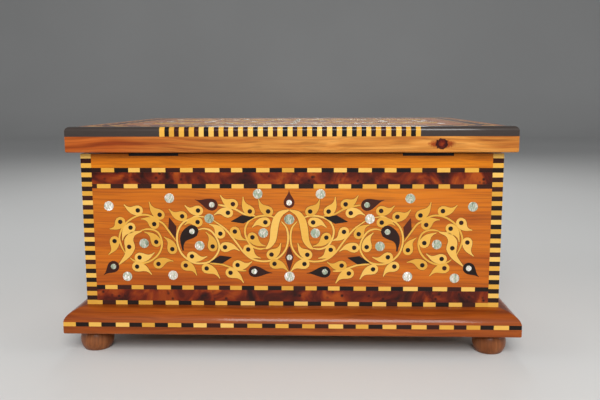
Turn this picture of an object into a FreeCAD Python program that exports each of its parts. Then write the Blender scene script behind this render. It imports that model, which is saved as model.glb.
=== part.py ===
import FreeCAD, Part
import math
import os
import Sketcher

# A wind-up music box: a marquetry case on four bun feet, a hinged lid, and an
# eighteen-note movement in a bay at the left, wound by a key under the floor.
# Frame: X to the right, Y to the back, Z up. The origin is on the table, under
# the middle of the case. All lengths are in millimetres.

Vector = FreeCAD.Vector
Z_AXIS = Vector(0, 0, 1)
Y_AXIS = Vector(0, 1, 0)
X_AXIS = Vector(1, 0, 0)

doc = FreeCAD.newDocument("MusicBox")
sheet = doc.addObject("Spreadsheet::Sheet", "Size")
parts = {}


# ---------------------------------------------------------------- dimensions

class Dim:
    """A length that carries its number and the sheet expression that gives it."""

    def __init__(self, value, text):
        self.value = float(value)
        self.text = text

    def __add__(self, other):
        return Dim(self.value + number(other), "(%s + %s)" % (self.text, words(other)))

    def __radd__(self, other):
        return Dim(number(other) + self.value, "(%s + %s)" % (words(other), self.text))

    def __sub__(self, other):
        return Dim(self.value - number(other), "(%s - %s)" % (self.text, words(other)))

    def __rsub__(self, other):
        return Dim(number(other) - self.value, "(%s - %s)" % (words(other), self.text))

    def __mul__(self, other):
        return Dim(self.value * number(other), "(%s * %s)" % (self.text, words(other)))

    def __rmul__(self, other):
        return Dim(number(other) * self.value, "(%s * %s)" % (words(other), self.text))

    def __truediv__(self, other):
        return Dim(self.value / number(other), "(%s / %s)" % (self.text, words(other)))

    def __neg__(self):
        return Dim(-self.value, "(0 - %s)" % self.text)


def number(dim):
    """The plain number of a Dim or of a number."""
    return dim.value if isinstance(dim, Dim) else float(dim)


def words(dim):
    """The expression text of a Dim or of a number."""
    return dim.text if isinstance(dim, Dim) else "%.6f" % dim


def cell(alias, value, note):
    """Write one driving dimension into the next row of the sheet."""
    row = cell.rows = cell.rows + 1
    sheet.set("A%d" % row, note)
    sheet.set("B%d" % row, str(value))
    sheet.setAlias("B%d" % row, alias)
    return Dim(value, "Size.%s" % alias)


cell.rows = 0

lid_width = cell("lid_width", 300, "lid, left to right")
lid_depth = cell("lid_depth", 235, "lid, front to back")
lid_overhang = cell("lid_overhang", 7.5, "lid past the case on every side")
lid_board_height = cell("lid_board_height", 10.7, "solid lower board of the lid")
lid_top_height = cell("lid_top_height", 6.5, "veneered panel and edging on the board")
lid_gap = cell("lid_gap", 1.2, "gap between rim and lid, held by the hinges")
edging_width = cell("edging_width", 7, "black edging round the lid")
edging_round = cell("edging_round", 3, "rounded upper edge of the edging")
checker_half = cell("checker_half", 86.2, "half the chequered strip in each long edging")
side_checker_half = cell("side_checker_half", 60, "half the chequered strip in each side edging")
checker_depth = cell("checker_depth", 2, "chequered strip, depth into the edging")

foot_height = cell("foot_height", 15, "bun foot")
foot_radius = cell("foot_radius", 11.5, "ball of the foot")
foot_middle = cell("foot_middle", 7.2, "height of the middle of the ball")
foot_along = cell("foot_along", 138, "foot centre from the middle, left to right")
foot_across = cell("foot_across", 105.5, "foot centre from the middle, front to back")
dowel_radius = cell("dowel_radius", 4, "dowel that holds a foot")
dowel_length = cell("dowel_length", 16, "dowel that holds a foot")

plinth_out = cell("plinth_out", 13, "plinth past the case on every side")
plinth_width = cell("plinth_width", 20.5, "plinth moulding, front to back")
plinth_height = cell("plinth_height", 17.3, "plinth moulding")
plinth_edge = cell("plinth_edge", 8.5, "upright edge of the plinth below its round")
shoulder_in = cell("shoulder_in", 3.4, "top corner of the plinth shoulder, in from the face")
shoulder_rise = cell("shoulder_rise", 6.1, "the same corner, above the plinth edge")
plinth_round = cell("plinth_round", 14, "radius that rounds that corner")
floor_board = cell("floor_board", 9, "bottom board inside the plinth")

wall = cell("wall", 10, "case wall")
wall_height = cell("wall_height", 105.5, "case wall")
post_width = cell("post_width", 7.1, "square striped post at each corner")
string_width = cell("string_width", 3, "inlaid string of light and dark blocks")
burl_width = cell("burl_width", 8, "burl veneer between two strings")
rim_plain = cell("rim_plain", 9.6, "plain wood above the upper band")
inlay_depth = cell("inlay_depth", 0.8, "veneer and string depth")
pad_place = cell("pad_place", 92.5, "felt pad on the front rim from the middle")
pad_width = cell("pad_width", 34, "felt pad on the front rim")
pad_depth = cell("pad_depth", 6, "felt pad, front to back")
pad_notch = cell("pad_notch", 1.5, "notch in the rim for the pad")
pad_height = cell("pad_height", 2.4, "felt pad")

bay_width = cell("bay_width", 72, "movement bay, left to right")
partition_width = cell("partition_width", 6, "partition beside the movement bay")
partition_height = cell("partition_height", 93, "partition above the floor")
cleat_size = cell("cleat_size", 6, "square cleat under the movement cover")
cover_level = cell("cover_level", 88, "underside of the movement cover above the floor")
cover_thickness = cell("cover_thickness", 3, "clear cover over the movement")
lining = cell("lining", 2, "velvet lining on board, walls")
floor_lining = cell("floor_lining", 3, "velvet lining, floor and lid")
lining_top = cell("lining_top", 92, "top of the wall lining above the floor")

hinge_place = cell("hinge_place", 95, "hinge from the middle")
hinge_width = cell("hinge_width", 40, "butt hinge")
hinge_leaf = cell("hinge_leaf", 1.2, "leaf thickness")
hinge_reach = cell("hinge_reach", 8.4, "leaf, front to back, from the back face")
knuckle_radius = cell("knuckle_radius", 2.2, "hinge knuckle")
hinge_pin_radius = cell("hinge_pin_radius", 0.9, "hinge pin")
hinge_set = cell("hinge_set", 2, "leaf stops this far short of the back face")
hinge_behind = cell("hinge_behind", 0.6, "pin behind the back face of the case")
running = cell("running", 0.05, "radial clearance of a running shaft")

movement_across = cell("movement_across", -20, "winding arbor from the middle, front to back")

# Derived places that many pieces share.
body_half_width = lid_width / 2 - lid_overhang
body_half_depth = lid_depth / 2 - lid_overhang
plinth_half_width = body_half_width + plinth_out
plinth_half_depth = body_half_depth + plinth_out
floor_level = foot_height + plinth_height
rim_level = floor_level + wall_height
lid_level = rim_level + lid_gap
lid_top_level = lid_level + lid_board_height
cavity_half_width = body_half_width - wall
cavity_half_depth = body_half_depth - wall
partition_left = bay_width - cavity_half_width
partition_right = partition_left + partition_width
movement_along = bay_width / 2 - cavity_half_width
axis_behind = body_half_depth + hinge_behind
axis_level = rim_level + lid_gap / 2
band_height = string_width * 2 + burl_width
upper_band = rim_level - rim_plain - band_height


# ------------------------------------------------------------ document helpers

def bind(item, path, dim):
    """Drive one property of an object by an expression on the sheet."""
    item.setExpression(path, words(dim))


def place(item, x=0, y=0, z=0, turn=0, axis=Z_AXIS):
    """Turn an object about an axis through its own origin, then set it at (x, y, z)."""
    item.Placement = FreeCAD.Placement(Vector(0, 0, 0), FreeCAD.Rotation(axis, turn))
    bind(item, "Placement.Base.x", x)
    bind(item, "Placement.Base.y", y)
    bind(item, "Placement.Base.z", z)
    return item


def publish(label, item):
    """Name an object as a sub-part of the music box."""
    item.Label = label
    parts[label] = item
    return item


def block(name, length, width, height, x, y, z):
    """A box whose low corner is at (x, y, z)."""
    item = doc.addObject("Part::Box", name)
    bind(item, "Length", length)
    bind(item, "Width", width)
    bind(item, "Height", height)
    return place(item, x, y, z)


def centred(name, length, width, height, x, y, z):
    """A box centred on (x, y) that stands on z."""
    return block(name, length, width, height, x - length / 2, y - width / 2, z)


def rod(name, radius, height, x, y, z, turn=0, axis=Z_AXIS):
    """A cylinder from (x, y, z) along Z, or along the direction that the turn gives."""
    item = doc.addObject("Part::Cylinder", name)
    bind(item, "Radius", radius)
    bind(item, "Height", height)
    return place(item, x, y, z, turn, axis)


def rod_along_x(name, radius, length, x, y, z):
    """A cylinder from (x, y, z) towards +X."""
    return rod(name, radius, length, x, y, z, 90, Y_AXIS)


def rod_along_y(name, radius, length, x, y, z):
    """A cylinder from (x, y, z) towards +Y."""
    return rod(name, radius, length, x, y, z, -90, X_AXIS)


def joined(name, items):
    """Several touching or overlapping pieces made one solid."""
    item = doc.addObject("Part::MultiFuse", name)
    item.Shapes = items
    item.Refine = True
    return item


def group(name, items):
    """Separate solids kept together in one object."""
    item = doc.addObject("Part::Compound", name)
    item.Links = items
    return item


def cut(name, base, tools):
    """The base less one tool or several."""
    item = doc.addObject("Part::Cut", name)
    item.Base = base
    item.Tool = tools[0] if len(tools) == 1 else group(name + "_tools", tools)
    return item


def solid(name, shape, x=0, y=0, z=0):
    """A shape that neither a body nor a primitive makes, set at (x, y, z)."""
    item = doc.addObject("Part::Feature", name)
    item.Shape = Part.makeCompound([shape])
    return place(item, x, y, z)


def new_body(name):
    """An empty PartDesign body."""
    return doc.addObject("PartDesign::Body", name)


def sketch_on(body, name, role, lift=0):
    """A sketch on one of the body's own origin planes, lifted along the plane's normal."""
    sketch = body.newObject("Sketcher::SketchObject", name)
    plane = [item for item in body.Origin.OriginFeatures if item.Role == role][0]
    sketch.AttachmentSupport = [(plane, "")]
    sketch.MapMode = "FlatFace"
    bind(sketch, "AttachmentOffset.Base.z", lift)
    return sketch


def pin_point(sketch, edge, end, across, along):
    """Hold one point of an edge where two expressions say."""
    for kind, axis, dim in (("DistanceX", -2, across), ("DistanceY", -1, along)):
        if abs(number(dim)) < 1e-9:
            sketch.addConstraint(Sketcher.Constraint("PointOnObject", edge, end, axis))
        else:
            held = Sketcher.Constraint(kind, -1, 1, edge, end, number(dim))
            index = sketch.addConstraint(held)
            bind(sketch, "Constraints[%d]" % index, dim)


def bind_radius(sketch, edge, radius):
    """Hold the radius of an arc or a circle."""
    index = sketch.addConstraint(Sketcher.Constraint("Radius", edge, number(radius)))
    bind(sketch, "Constraints[%d]" % index, radius)


def arc_between(start, finish, radius):
    """An arc with its centre left of travel for a positive radius, right for a negative."""
    chord = finish - start
    middle = (start + finish) / 2
    left = Vector(-chord.y, chord.x, 0).normalize()
    reach = math.sqrt(radius * radius - chord.Length ** 2 / 4)
    centre = middle + left * reach * (1 if radius > 0 else -1)
    first, last = (start, finish) if radius > 0 else (finish, start)
    begin = math.atan2(first.y - centre.y, first.x - centre.x)
    end = math.atan2(last.y - centre.y, last.x - centre.x)
    if end <= begin:
        end += 2 * math.pi
    circle = Part.Circle(centre, Z_AXIS, abs(radius))
    return Part.ArcOfCircle(circle, begin, end)


def outline(sketch, corners):
    """Close a loop through corners. A third value makes the edge that leaves it an arc."""
    count = len(corners)
    points = [Vector(number(c[0]), number(c[1]), 0) for c in corners]
    edges = []
    for index, corner in enumerate(corners):
        start, finish = points[index], points[(index + 1) % count]
        if len(corner) == 3:
            radius = number(corner[2])
            edge = sketch.addGeometry(arc_between(start, finish, radius), False)
            bind_radius(sketch, edge, corner[2] if radius > 0 else -corner[2])
            edges.append((edge, 1, 2) if radius > 0 else (edge, 2, 1))
        else:
            edge = sketch.addGeometry(Part.LineSegment(start, finish), False)
            edges.append((edge, 1, 2))
    for index, corner in enumerate(corners):
        edge, leaving, _ = edges[index]
        before, _, arriving = edges[index - 1]
        sketch.addConstraint(Sketcher.Constraint("Coincident", before, arriving, edge, leaving))
        pin_point(sketch, edge, leaving, corner[0], corner[1])


def rectangle(sketch, left, low, right, high):
    """A rectangle between two corners."""
    outline(sketch, [(left, low), (right, low), (right, high), (left, high)])


def circle(sketch, across, along, radius):
    """A circle about a held centre."""
    ring = Part.Circle(Vector(number(across), number(along), 0), Z_AXIS, number(radius))
    edge = sketch.addGeometry(ring, False)
    pin_point(sketch, edge, 3, across, along)
    bind_radius(sketch, edge, radius)


def pad(body, sketch, length, side="One side"):
    """Pad a sketch along its normal, or evenly both ways with side Symmetric."""
    feature = body.newObject("PartDesign::Pad", sketch.Name + "_pad")
    feature.Profile = sketch
    feature.SideType = side
    bind(feature, "Length", length)
    return feature


def pocket(body, sketch, depth):
    """Cut a sketch into the body against its normal."""
    feature = body.newObject("PartDesign::Pocket", sketch.Name + "_pocket")
    feature.Profile = sketch
    bind(feature, "Length", depth)
    return feature


def revolve(body, sketch):
    """Turn a sketch right round its own upright axis."""
    feature = body.newObject("PartDesign::Revolution", sketch.Name + "_turned")
    feature.Profile = sketch
    feature.ReferenceAxis = (sketch, ["V_Axis"])
    feature.Angle = 360
    return feature


def turned(name, corners):
    """A body turned on a lathe from corners (radius, height)."""
    body = new_body(name)
    sketch = sketch_on(body, name + "_profile", "XZ_Plane")
    outline(sketch, corners)
    revolve(body, sketch)
    return body


def dome(reach, rise):
    """Radius of a screw head's dome, level at its crown, that falls by rise over a reach."""
    return (reach * reach + rise * rise) / (2 * rise)


def copies(name, master, places, turn=0, axis=X_AXIS):
    """Separate copies of a finished solid at several places."""
    doc.recompute()
    lean = FreeCAD.Rotation(axis, turn)
    shapes = []
    for x, y, z in places:
        copy = master.Shape.copy()
        copy.Placement = FreeCAD.Placement(Vector(number(x), number(y), number(z)), lean)
        shapes.append(copy)
    item = doc.addObject("Part::Feature", name)
    item.Shape = Part.makeCompound(shapes)
    return item


# ------------------------------------------------------------------- the feet

def make_feet():
    """Four ball feet cut flat above and below, each held by a dowel up into the plinth."""
    dowels = []
    for side, left_right in (("left", -1), ("right", 1)):
        for end, front_back in (("front", -1), ("back", 1)):
            x, y = foot_along * left_right, foot_across * front_back
            name = "%s_%s" % (end, side)
            ball = doc.addObject("Part::Sphere", "ball_" + name)
            bind(ball, "Radius", foot_radius)
            place(ball, x, y, foot_middle)
            slice_block = centred("slice_" + name, foot_radius * 3, foot_radius * 3,
                                  foot_height, x, y, Dim(0, "0"))
            flat = doc.addObject("Part::Common", "flat_" + name)
            flat.Base = ball
            flat.Tool = slice_block
            dowel = rod("dowel_" + name, dowel_radius, dowel_length, x, y,
                        foot_height - dowel_length / 2)
            dowels.append(dowel)
            publish("bun_foot_" + name, cut("bun_foot_" + name, flat, [dowel]))
    return publish("foot_dowels", group("foot_dowels", dowels))


# ----------------------------------------------------------------- the plinth

def mitred(name, profile, length, distance, width, top, turn):
    """A straight moulding along X at the front, mitred at both ends, then turned about Z."""
    body = new_body(name)
    section = sketch_on(body, name + "_section", "YZ_Plane")
    outline(section, profile)
    pad(body, section, length, "Symmetric")
    mitre = sketch_on(body, name + "_mitre", "XY_Plane", top + 1)
    for way in (-1, 1):
        end = length / 2 * way
        inner = (length / 2 - width) * way
        outline(mitre, [(end, -distance), (inner, width - distance), (end, width - distance)])
    pocket(body, mitre, 30)
    return place(body, turn=turn)


def sides(long_length, short_length):
    """The four sides of a frame: name, own length, distance from the middle, turn."""
    return [("front", long_length, short_length / 2, 0),
            ("right", short_length, long_length / 2, 90),
            ("back", long_length, short_length / 2, 180),
            ("left", short_length, long_length / 2, 270)]


def make_plinth(dowels):
    """Four mitred plinth mouldings with a rounded shoulder and a rebate for the string."""
    edge_top = foot_height + plinth_edge
    for side, length, distance, turn in sides(plinth_half_width * 2, plinth_half_depth * 2):
        inner = plinth_width - distance
        profile = [(inner, foot_height), (inner, floor_level),
                   (plinth_out - distance, floor_level),
                   (shoulder_in - distance, edge_top + shoulder_rise, plinth_round),
                   (-distance, edge_top), (inlay_depth - distance, edge_top),
                   (inlay_depth - distance, edge_top - string_width),
                   (-distance, edge_top - string_width), (-distance, foot_height)]
        body = mitred("moulding_" + side, profile, length, distance, plinth_width,
                      floor_level, turn)
        publish("plinth_" + side, cut("plinth_" + side, body, [dowels]))


def string_ring(name, half_width, half_depth, level, height=string_width, gap=0):
    """Four flat strips let into the four faces, stopping short of the corners by gap."""
    long_strip = (half_width - gap) * 2
    short_strip = (half_depth - gap) * 2 if gap else (half_depth - inlay_depth) * 2
    strips = []
    for way in (-1, 1):
        y = half_depth * way - (inlay_depth if way > 0 else 0)
        x = half_width * way - (inlay_depth if way > 0 else 0)
        strips.append(block(name + "_long", long_strip, inlay_depth, height,
                            long_strip / -2, y, level))
        strips.append(block(name + "_short", inlay_depth, short_strip, height,
                            x, short_strip / -2, level))
    return strips


def make_bottom_board(screws):
    """The bottom board with a clearance hole for the winding arbor and the screw holes."""
    half_width = plinth_half_width - plinth_width
    half_depth = plinth_half_depth - plinth_width
    body = new_body("floor_body")
    face = sketch_on(body, "floor_face", "XY_Plane")
    rectangle(face, -half_width, -half_depth, half_width, half_depth)
    pad(body, face, floor_board)
    hole = sketch_on(body, "floor_hole", "XY_Plane", floor_board)
    circle(hole, movement_along, movement_across, 4.5)
    pocket(body, hole, floor_board + 1)
    place(body, 0, 0, floor_level - floor_board)
    publish("bottom_board", cut("bottom_board", body, [screws]))


# ------------------------------------------------------------------- the case

def make_walls(leaves, screws):
    """Front and back walls between the posts, side walls rebated round them."""
    half = body_half_width - post_width
    notches = [centred("pad_notch", pad_width, pad_depth, pad_notch + 1, pad_place * way,
                       pad_depth / 2 - body_half_depth, rim_level - pad_notch)
               for way in (-1, 1)]
    grooves = [rod_along_x("rim_groove", knuckle_radius + 0.4, hinge_width + 1,
                           hinge_place * way - hinge_width / 2 - 0.5, axis_behind, axis_level)
               for way in (-1, 1)]
    for side, way, tools in (("front", -1, notches), ("back", 1, [leaves, screws] + grooves)):
        board = block("board_" + side, half * 2, wall, wall_height, -half,
                      body_half_depth * way - (wall if way > 0 else 0), floor_level)
        beds = [block("bed_" + side, half * 2 + 2, inlay_depth + 1, band_height, -half - 1,
                      body_half_depth * way - (inlay_depth if way > 0 else 1), level)
                for level in (floor_level, upper_band)]
        publish(side + "_wall", cut(side + "_wall", board, beds + tools))
    for side, way in (("left", -1), ("right", 1)):
        body = new_body("board_" + side)
        plan = sketch_on(body, "plan_" + side, "XY_Plane")
        inner, step, outer = cavity_half_width * way, half * way, body_half_width * way
        post_start = body_half_depth - post_width
        outline(plan, [(inner, -cavity_half_depth), (step, -cavity_half_depth),
                       (step, -post_start), (outer, -post_start), (outer, post_start),
                       (step, post_start), (step, cavity_half_depth),
                       (inner, cavity_half_depth)])
        pad(body, plan, wall_height)
        place(body, 0, 0, floor_level)
        beds = [block("bed_" + side, inlay_depth + 1, post_start * 2 + 2, band_height,
                      outer - (inlay_depth if way > 0 else 1), -post_start - 1, level)
                for level in (floor_level, upper_band)]
        publish(side + "_wall", cut(side + "_wall", body, beds))


def make_corner_posts():
    """A square post let into each corner of the case, striped like the strings."""
    posts = [centred("post", post_width, post_width, wall_height,
                     (body_half_width - post_width / 2) * left_right,
                     (body_half_depth - post_width / 2) * front_back, floor_level)
             for left_right in (-1, 1) for front_back in (-1, 1)]
    publish("corner_posts", group("corner_posts", posts))


def make_bands():
    """Burl bands at the foot and the head of the case, each between two strings."""
    burls, strings = [], []
    for level in (floor_level, upper_band):
        burls += string_ring("burl", body_half_width, body_half_depth, level + string_width,
                             burl_width, post_width)
        for string_level in (level, level + string_width + burl_width):
            strings += string_ring("string", body_half_width, body_half_depth, string_level,
                                   string_width, post_width)
    publish("burl_bands", group("burl_bands", burls))
    publish("string_bands", group("string_bands", strings))


def make_pads():
    """Two dark felt pads let into the front rim, on which the lid closes."""
    pads = [centred("pad", pad_width - 0.4, pad_depth, pad_height, pad_place * way,
                    pad_depth / 2 - body_half_depth, rim_level - pad_notch)
            for way in (-1, 1)]
    publish("rim_pads", group("rim_pads", pads))


# --------------------------------------------------------------- the interior

def make_bay():
    """Partition, cleats and clear screwed cover round the movement bay."""
    depth = cavity_half_depth * 2
    publish("partition", block("partition", partition_width, depth, partition_height,
                               partition_left, -cavity_half_depth, floor_level))
    cleat_level = floor_level + cover_level - cleat_size
    cleat_spots = (-cavity_half_width, partition_left - cleat_size)
    cleats = [block("cleat", cleat_size, depth, cleat_size, x, -cavity_half_depth, cleat_level)
              for x in cleat_spots]
    screw = turned("cover_screw", [(0, -8), (0.4, -8), (1.1, -7), (1.1, 0), (2.4, 0),
                                   (2.4, 0.8, dome(2.4, 0.9)), (0, 1.7)])
    spots = [(x + cleat_size / 2, (cavity_half_depth - 12) * way,
              floor_level + cover_level + cover_thickness)
             for x in cleat_spots for way in (-1, 1)]
    screws = publish("cover_screws", copies("cover_screws", screw, spots))
    publish("cover_cleats", cut("cover_cleats", group("cleats", cleats), [screws]))
    sheet_blank = block("cover_blank", bay_width - 0.4, depth - 0.4, cover_thickness,
                        0.2 - cavity_half_width, 0.2 - cavity_half_depth,
                        floor_level + cover_level)
    rod_x, rod_y = stop_rod_place()
    hole = rod("cover_hole", 1.5, cover_thickness + 2, rod_x, rod_y, floor_level + cover_level - 1)
    publish("movement_cover", cut("movement_cover", sheet_blank, [screws, hole]))


def make_linings():
    """Velvet-covered boards on the floor and the walls of the main compartment."""
    left, right = partition_right, cavity_half_width
    depth = cavity_half_depth * 2
    publish("floor_lining", block("floor_lining", right - left, depth, floor_lining,
                                  left, -cavity_half_depth, floor_level))
    base = floor_level + floor_lining
    height = lining_top - floor_lining
    walls = [block("lining_end", lining, depth, height, x, -cavity_half_depth, base)
             for x in (left, right - lining)]
    walls += [block("lining_long", right - left - lining * 2, lining, height, left + lining,
                    y, base)
              for y in (-cavity_half_depth, cavity_half_depth - lining)]
    publish("wall_linings", group("wall_linings", walls))


# -------------------------------------------------------------------- the lid

def bottom_edges(shape, level):
    """Names of the edges that lie flat at one level on the outside of a board."""
    names = []
    box = shape.BoundBox
    for index, edge in enumerate(shape.Edges, 1):
        middle = edge.CenterOfMass
        flat = abs(edge.BoundBox.ZMin - level) < 1e-6 and abs(edge.BoundBox.ZMax - level) < 1e-6
        outside = (min(abs(middle.x - box.XMin), abs(middle.x - box.XMax)) < 1e-6
                   or min(abs(middle.y - box.YMin), abs(middle.y - box.YMax)) < 1e-6)
        if flat and outside:
            names.append("Edge%d" % index)
    return names


def make_lid(leaves, screws):
    """The lid: solid board recessed below, edging round a veneered panel, velvet lining."""
    body = new_body("lid_body")
    face = sketch_on(body, "lid_face", "XY_Plane")
    rectangle(face, lid_width / -2, lid_depth / -2, lid_width / 2, lid_depth / 2)
    block_pad = pad(body, face, lid_board_height)
    doc.recompute()
    softened = body.newObject("PartDesign::Fillet", "lid_softened")
    softened.Base = (block_pad, bottom_edges(block_pad.Shape, 0))
    softened.Radius = 1.2
    recess = sketch_on(body, "lid_recess", "XY_Plane", floor_lining + 0.5)
    half_width, half_depth = cavity_half_width - 2.5, cavity_half_depth - 2.5
    rectangle(recess, -half_width, -half_depth, half_width, half_depth)
    pocket(body, recess, floor_lining + 1.5)
    place(body, 0, 0, lid_level)
    grooves = [rod_along_x("lid_groove", knuckle_radius + 0.4, hinge_width + 1,
                           hinge_place * way - hinge_width / 2 - 0.5, axis_behind, axis_level)
               for way in (-1, 1)]
    publish("lid_board", cut("lid_board", body, [leaves, screws] + grooves))
    publish("lid_lining", block("lid_lining", half_width * 2, half_depth * 2, floor_lining,
                                -half_width, -half_depth, lid_level + 0.5))
    publish("lid_top_panel", centred("lid_top_panel", lid_width - edging_width * 2,
                                     lid_depth - edging_width * 2, lid_top_height,
                                     Dim(0, "0"), Dim(0, "0"), lid_top_level))


def make_edging():
    """Black edging round the top of the lid, with a chequered strip let into each side."""
    strips = []
    top = lid_top_level + lid_top_height
    spots = sides(lid_width, lid_depth)
    for side, length, distance, turn in spots:
        inner = edging_width - distance
        profile = [(inner, lid_top_level), (inner, top),
                   (edging_round - distance, top, edging_round),
                   (-distance, top - edging_round), (-distance, lid_top_level)]
        body = mitred("edging_body_" + side, profile, length, distance, edging_width, top, turn)
        half = checker_half if side in ("front", "back") else side_checker_half
        strip = new_body("checker_" + side)
        section = sketch_on(strip, "checker_section_" + side, "YZ_Plane")
        outline(section, [(checker_depth - distance, lid_top_level),
                          (checker_depth - distance, top - 0.2),
                          (1.4 - distance, top - 0.2, 1.4),
                          (-distance, top - 1.6), (-distance, lid_top_level)])
        pad(strip, section, half * 2, "Symmetric")
        place(strip, turn=turn)
        bed = block("checker_bed_" + side, half * 2, checker_depth + 1, lid_top_height + 2,
                    -half, -distance - 1, lid_top_level - 1)
        bed_turned = doc.addObject("Part::Feature", "checker_bed_turned_" + side)
        doc.recompute()
        bed_turned.Shape = bed.Shape.copy()
        bed_turned.Placement = FreeCAD.Placement(Vector(0, 0, 0),
                                                 FreeCAD.Rotation(Z_AXIS, turn)) * bed.Placement
        strips.append(strip)
        publish("lid_edging_" + side, cut("lid_edging_" + side, body, [bed_turned]))
    publish("lid_checker_strips", group("lid_checker_strips", strips))


# ----------------------------------------------------------------- the hinges

def make_hinges():
    """Two brass butt hinges: case leaves, lid leaves, pins and countersunk screws."""
    lid_leaves, case_leaves, pins = [], [], []
    screw = turned("hinge_screw", [(0, -6), (0.3, -6), (0.8, -5), (0.8, -0.9), (1.6, 0), (0, 0)])
    front = body_half_depth - hinge_reach
    lid_spots, case_spots = [], []
    for way in (-1, 1):
        middle = hinge_place * way
        start = middle - hinge_width / 2
        segment = hinge_width / 5
        lower = block("case_leaf", hinge_width, hinge_reach - hinge_set, hinge_leaf, start,
                      front, rim_level - hinge_leaf)
        upper = block("lid_leaf", hinge_width, hinge_reach - hinge_set, hinge_leaf, start,
                      front, lid_level)
        case_bits, lid_bits = [lower], [upper]
        bore = rod_along_x("knuckle_bore", hinge_pin_radius + running, hinge_width + 2,
                           start - 1, axis_behind, axis_level)
        for index in range(5):
            x = start + segment * index + 0.15
            barrel = rod_along_x("knuckle", knuckle_radius, segment - 0.3, x, axis_behind,
                                 axis_level)
            on_case = index % 2 == 0
            level = rim_level - hinge_leaf if on_case else lid_level
            tab = block("knuckle_tab", segment - 0.3, hinge_set + hinge_behind / 2,
                        hinge_leaf, x, body_half_depth - hinge_set, level)
            (case_bits if on_case else lid_bits).extend([barrel, tab])
        case_leaves.append(cut("case_hinge", joined("case_knuckles", case_bits), [bore]))
        lid_leaves.append(cut("lid_hinge", joined("lid_knuckles", lid_bits), [bore]))
        pins.append(rod_along_x("hinge_pin", hinge_pin_radius, hinge_width, start, axis_behind,
                                axis_level))
        for step in (-1, 0, 1):
            spot_x = middle + step * (hinge_width / 2 - 6)
            spot_y = front + 3.4
            lid_spots.append((spot_x, spot_y, lid_level))
            case_spots.append((spot_x, spot_y, rim_level))
    lid_screws = publish("lid_hinge_screws", copies("lid_hinge_screws", screw, lid_spots, 180))
    case_screws = publish("case_hinge_screws", copies("case_hinge_screws", screw, case_spots))
    lid_group = group("lid_leaf_blanks", lid_leaves)
    case_group = group("case_leaf_blanks", case_leaves)
    publish("lid_hinge_leaves", cut("lid_hinge_leaves", lid_group, [lid_screws]))
    publish("case_hinge_leaves", cut("case_hinge_leaves", case_group, [case_screws]))
    publish("hinge_pins", group("hinge_pins", pins))
    return lid_group, lid_screws, case_group, case_screws


# --------------------------------------------------------------- the movement
# Movement places are measured from the foot of the winding arbor on the floor:
# u to the right, v to the back, w up.

BED = 3.0
AXLE = 21.2
CROWN_TEETH, PINION_TEETH = 36, 12
WHEEL_TEETH, LEAF_TEETH, WORM_TEETH = 48, 8, 16
CROWN_ACROSS = 24.0
CROWN_MODULE = CROWN_ACROSS / CROWN_TEETH
FINE_MODULE, WORM_MODULE = 0.5, 0.6
WORM_RADIUS = 1.6
SHAFT_U = FINE_MODULE * (WHEEL_TEETH + LEAF_TEETH) / 2
WORM_U = SHAFT_U - WORM_MODULE * WORM_TEETH / 2 - WORM_RADIUS
WORM_V = 51.0
CYLINDER_START, CYLINDER_END = 17.0, 41.0
CYLINDER_RADIUS, PIN_HEIGHT = 6.5, 0.8
NOTES = 18
STOP_U, STOP_V, STOP_W = 7.6, 28.0, 38.2
STOP_ROD_V = 42.0


def stop_rod_place():
    """Where the stop rod passes up through the cover."""
    return movement_along + STOP_U, movement_across + STOP_ROD_V


def on_bed(name, shape):
    """Put a movement shape, made in movement places, where the movement stands."""
    return solid(name, shape, movement_along, movement_across, floor_level)


def slab(u0, u1, v0, v1, w0, w1):
    """A plain block between two corners."""
    return Part.makeBox(u1 - u0, v1 - v0, w1 - w0, Vector(u0, v0, w0))


def shaft(radius, length, u, v, w, direction=Z_AXIS):
    """A plain round shaft."""
    return Part.makeCylinder(radius, length, Vector(u, v, w), direction)


def toothed(teeth, module, thickness, tip, root, width):
    """A spur wheel about Z: straight-sided teeth, a share of the pitch thick at the pitch line."""
    pitch_radius = module * teeth / 2
    step = 2 * math.pi / teeth
    half_pitch = step * thickness / 2
    points = []
    for index in range(teeth):
        centre = index * step
        for radius, share in ((pitch_radius - root, -1.5), (pitch_radius + tip, -0.6),
                              (pitch_radius + tip, 0.6), (pitch_radius - root, 1.5)):
            angle = centre + half_pitch * share
            points.append(Vector(radius * math.cos(angle), radius * math.sin(angle), 0))
    face = Part.Face(Part.makePolygon(points + [points[0]]))
    return face.extrude(Vector(0, 0, width))


def upright_wheel(shape, u, v, w, turn=0):
    """Stand a wheel made about Z on an axle along Y that starts at (u, v, w)."""
    wheel = shape.copy()
    wheel.rotate(Vector(0, 0, 0), Z_AXIS, turn)
    wheel.rotate(Vector(0, 0, 0), X_AXIS, -90)
    wheel.translate(Vector(u, v, w))
    return wheel


def crown_wheel():
    """A disc with radial teeth standing on its rim, which turns the cylinder's pinion."""
    pitch_level = AXLE - CROWN_MODULE * PINION_TEETH / 2
    root_level = pitch_level - 0.75
    disc = shaft(13.8, root_level - 14.4, 0, 0, 14.4)
    narrow, wide = 0.5, 0.85
    tall = 1.3
    profile = Part.makePolygon([Vector(10.4, -wide / 2, root_level - 0.1),
                                Vector(10.4, wide / 2, root_level - 0.1),
                                Vector(10.4, narrow / 2, root_level + tall),
                                Vector(10.4, -narrow / 2, root_level + tall),
                                Vector(10.4, -wide / 2, root_level - 0.1)])
    tooth = Part.Face(profile).extrude(Vector(3.2, 0, 0))
    teeth = []
    for index in range(CROWN_TEETH):
        copy = tooth.copy()
        copy.rotate(Vector(0, 0, 0), Z_AXIS, index * 360.0 / CROWN_TEETH)
        teeth.append(copy)
    return disc.multiFuse(teeth)


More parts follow.
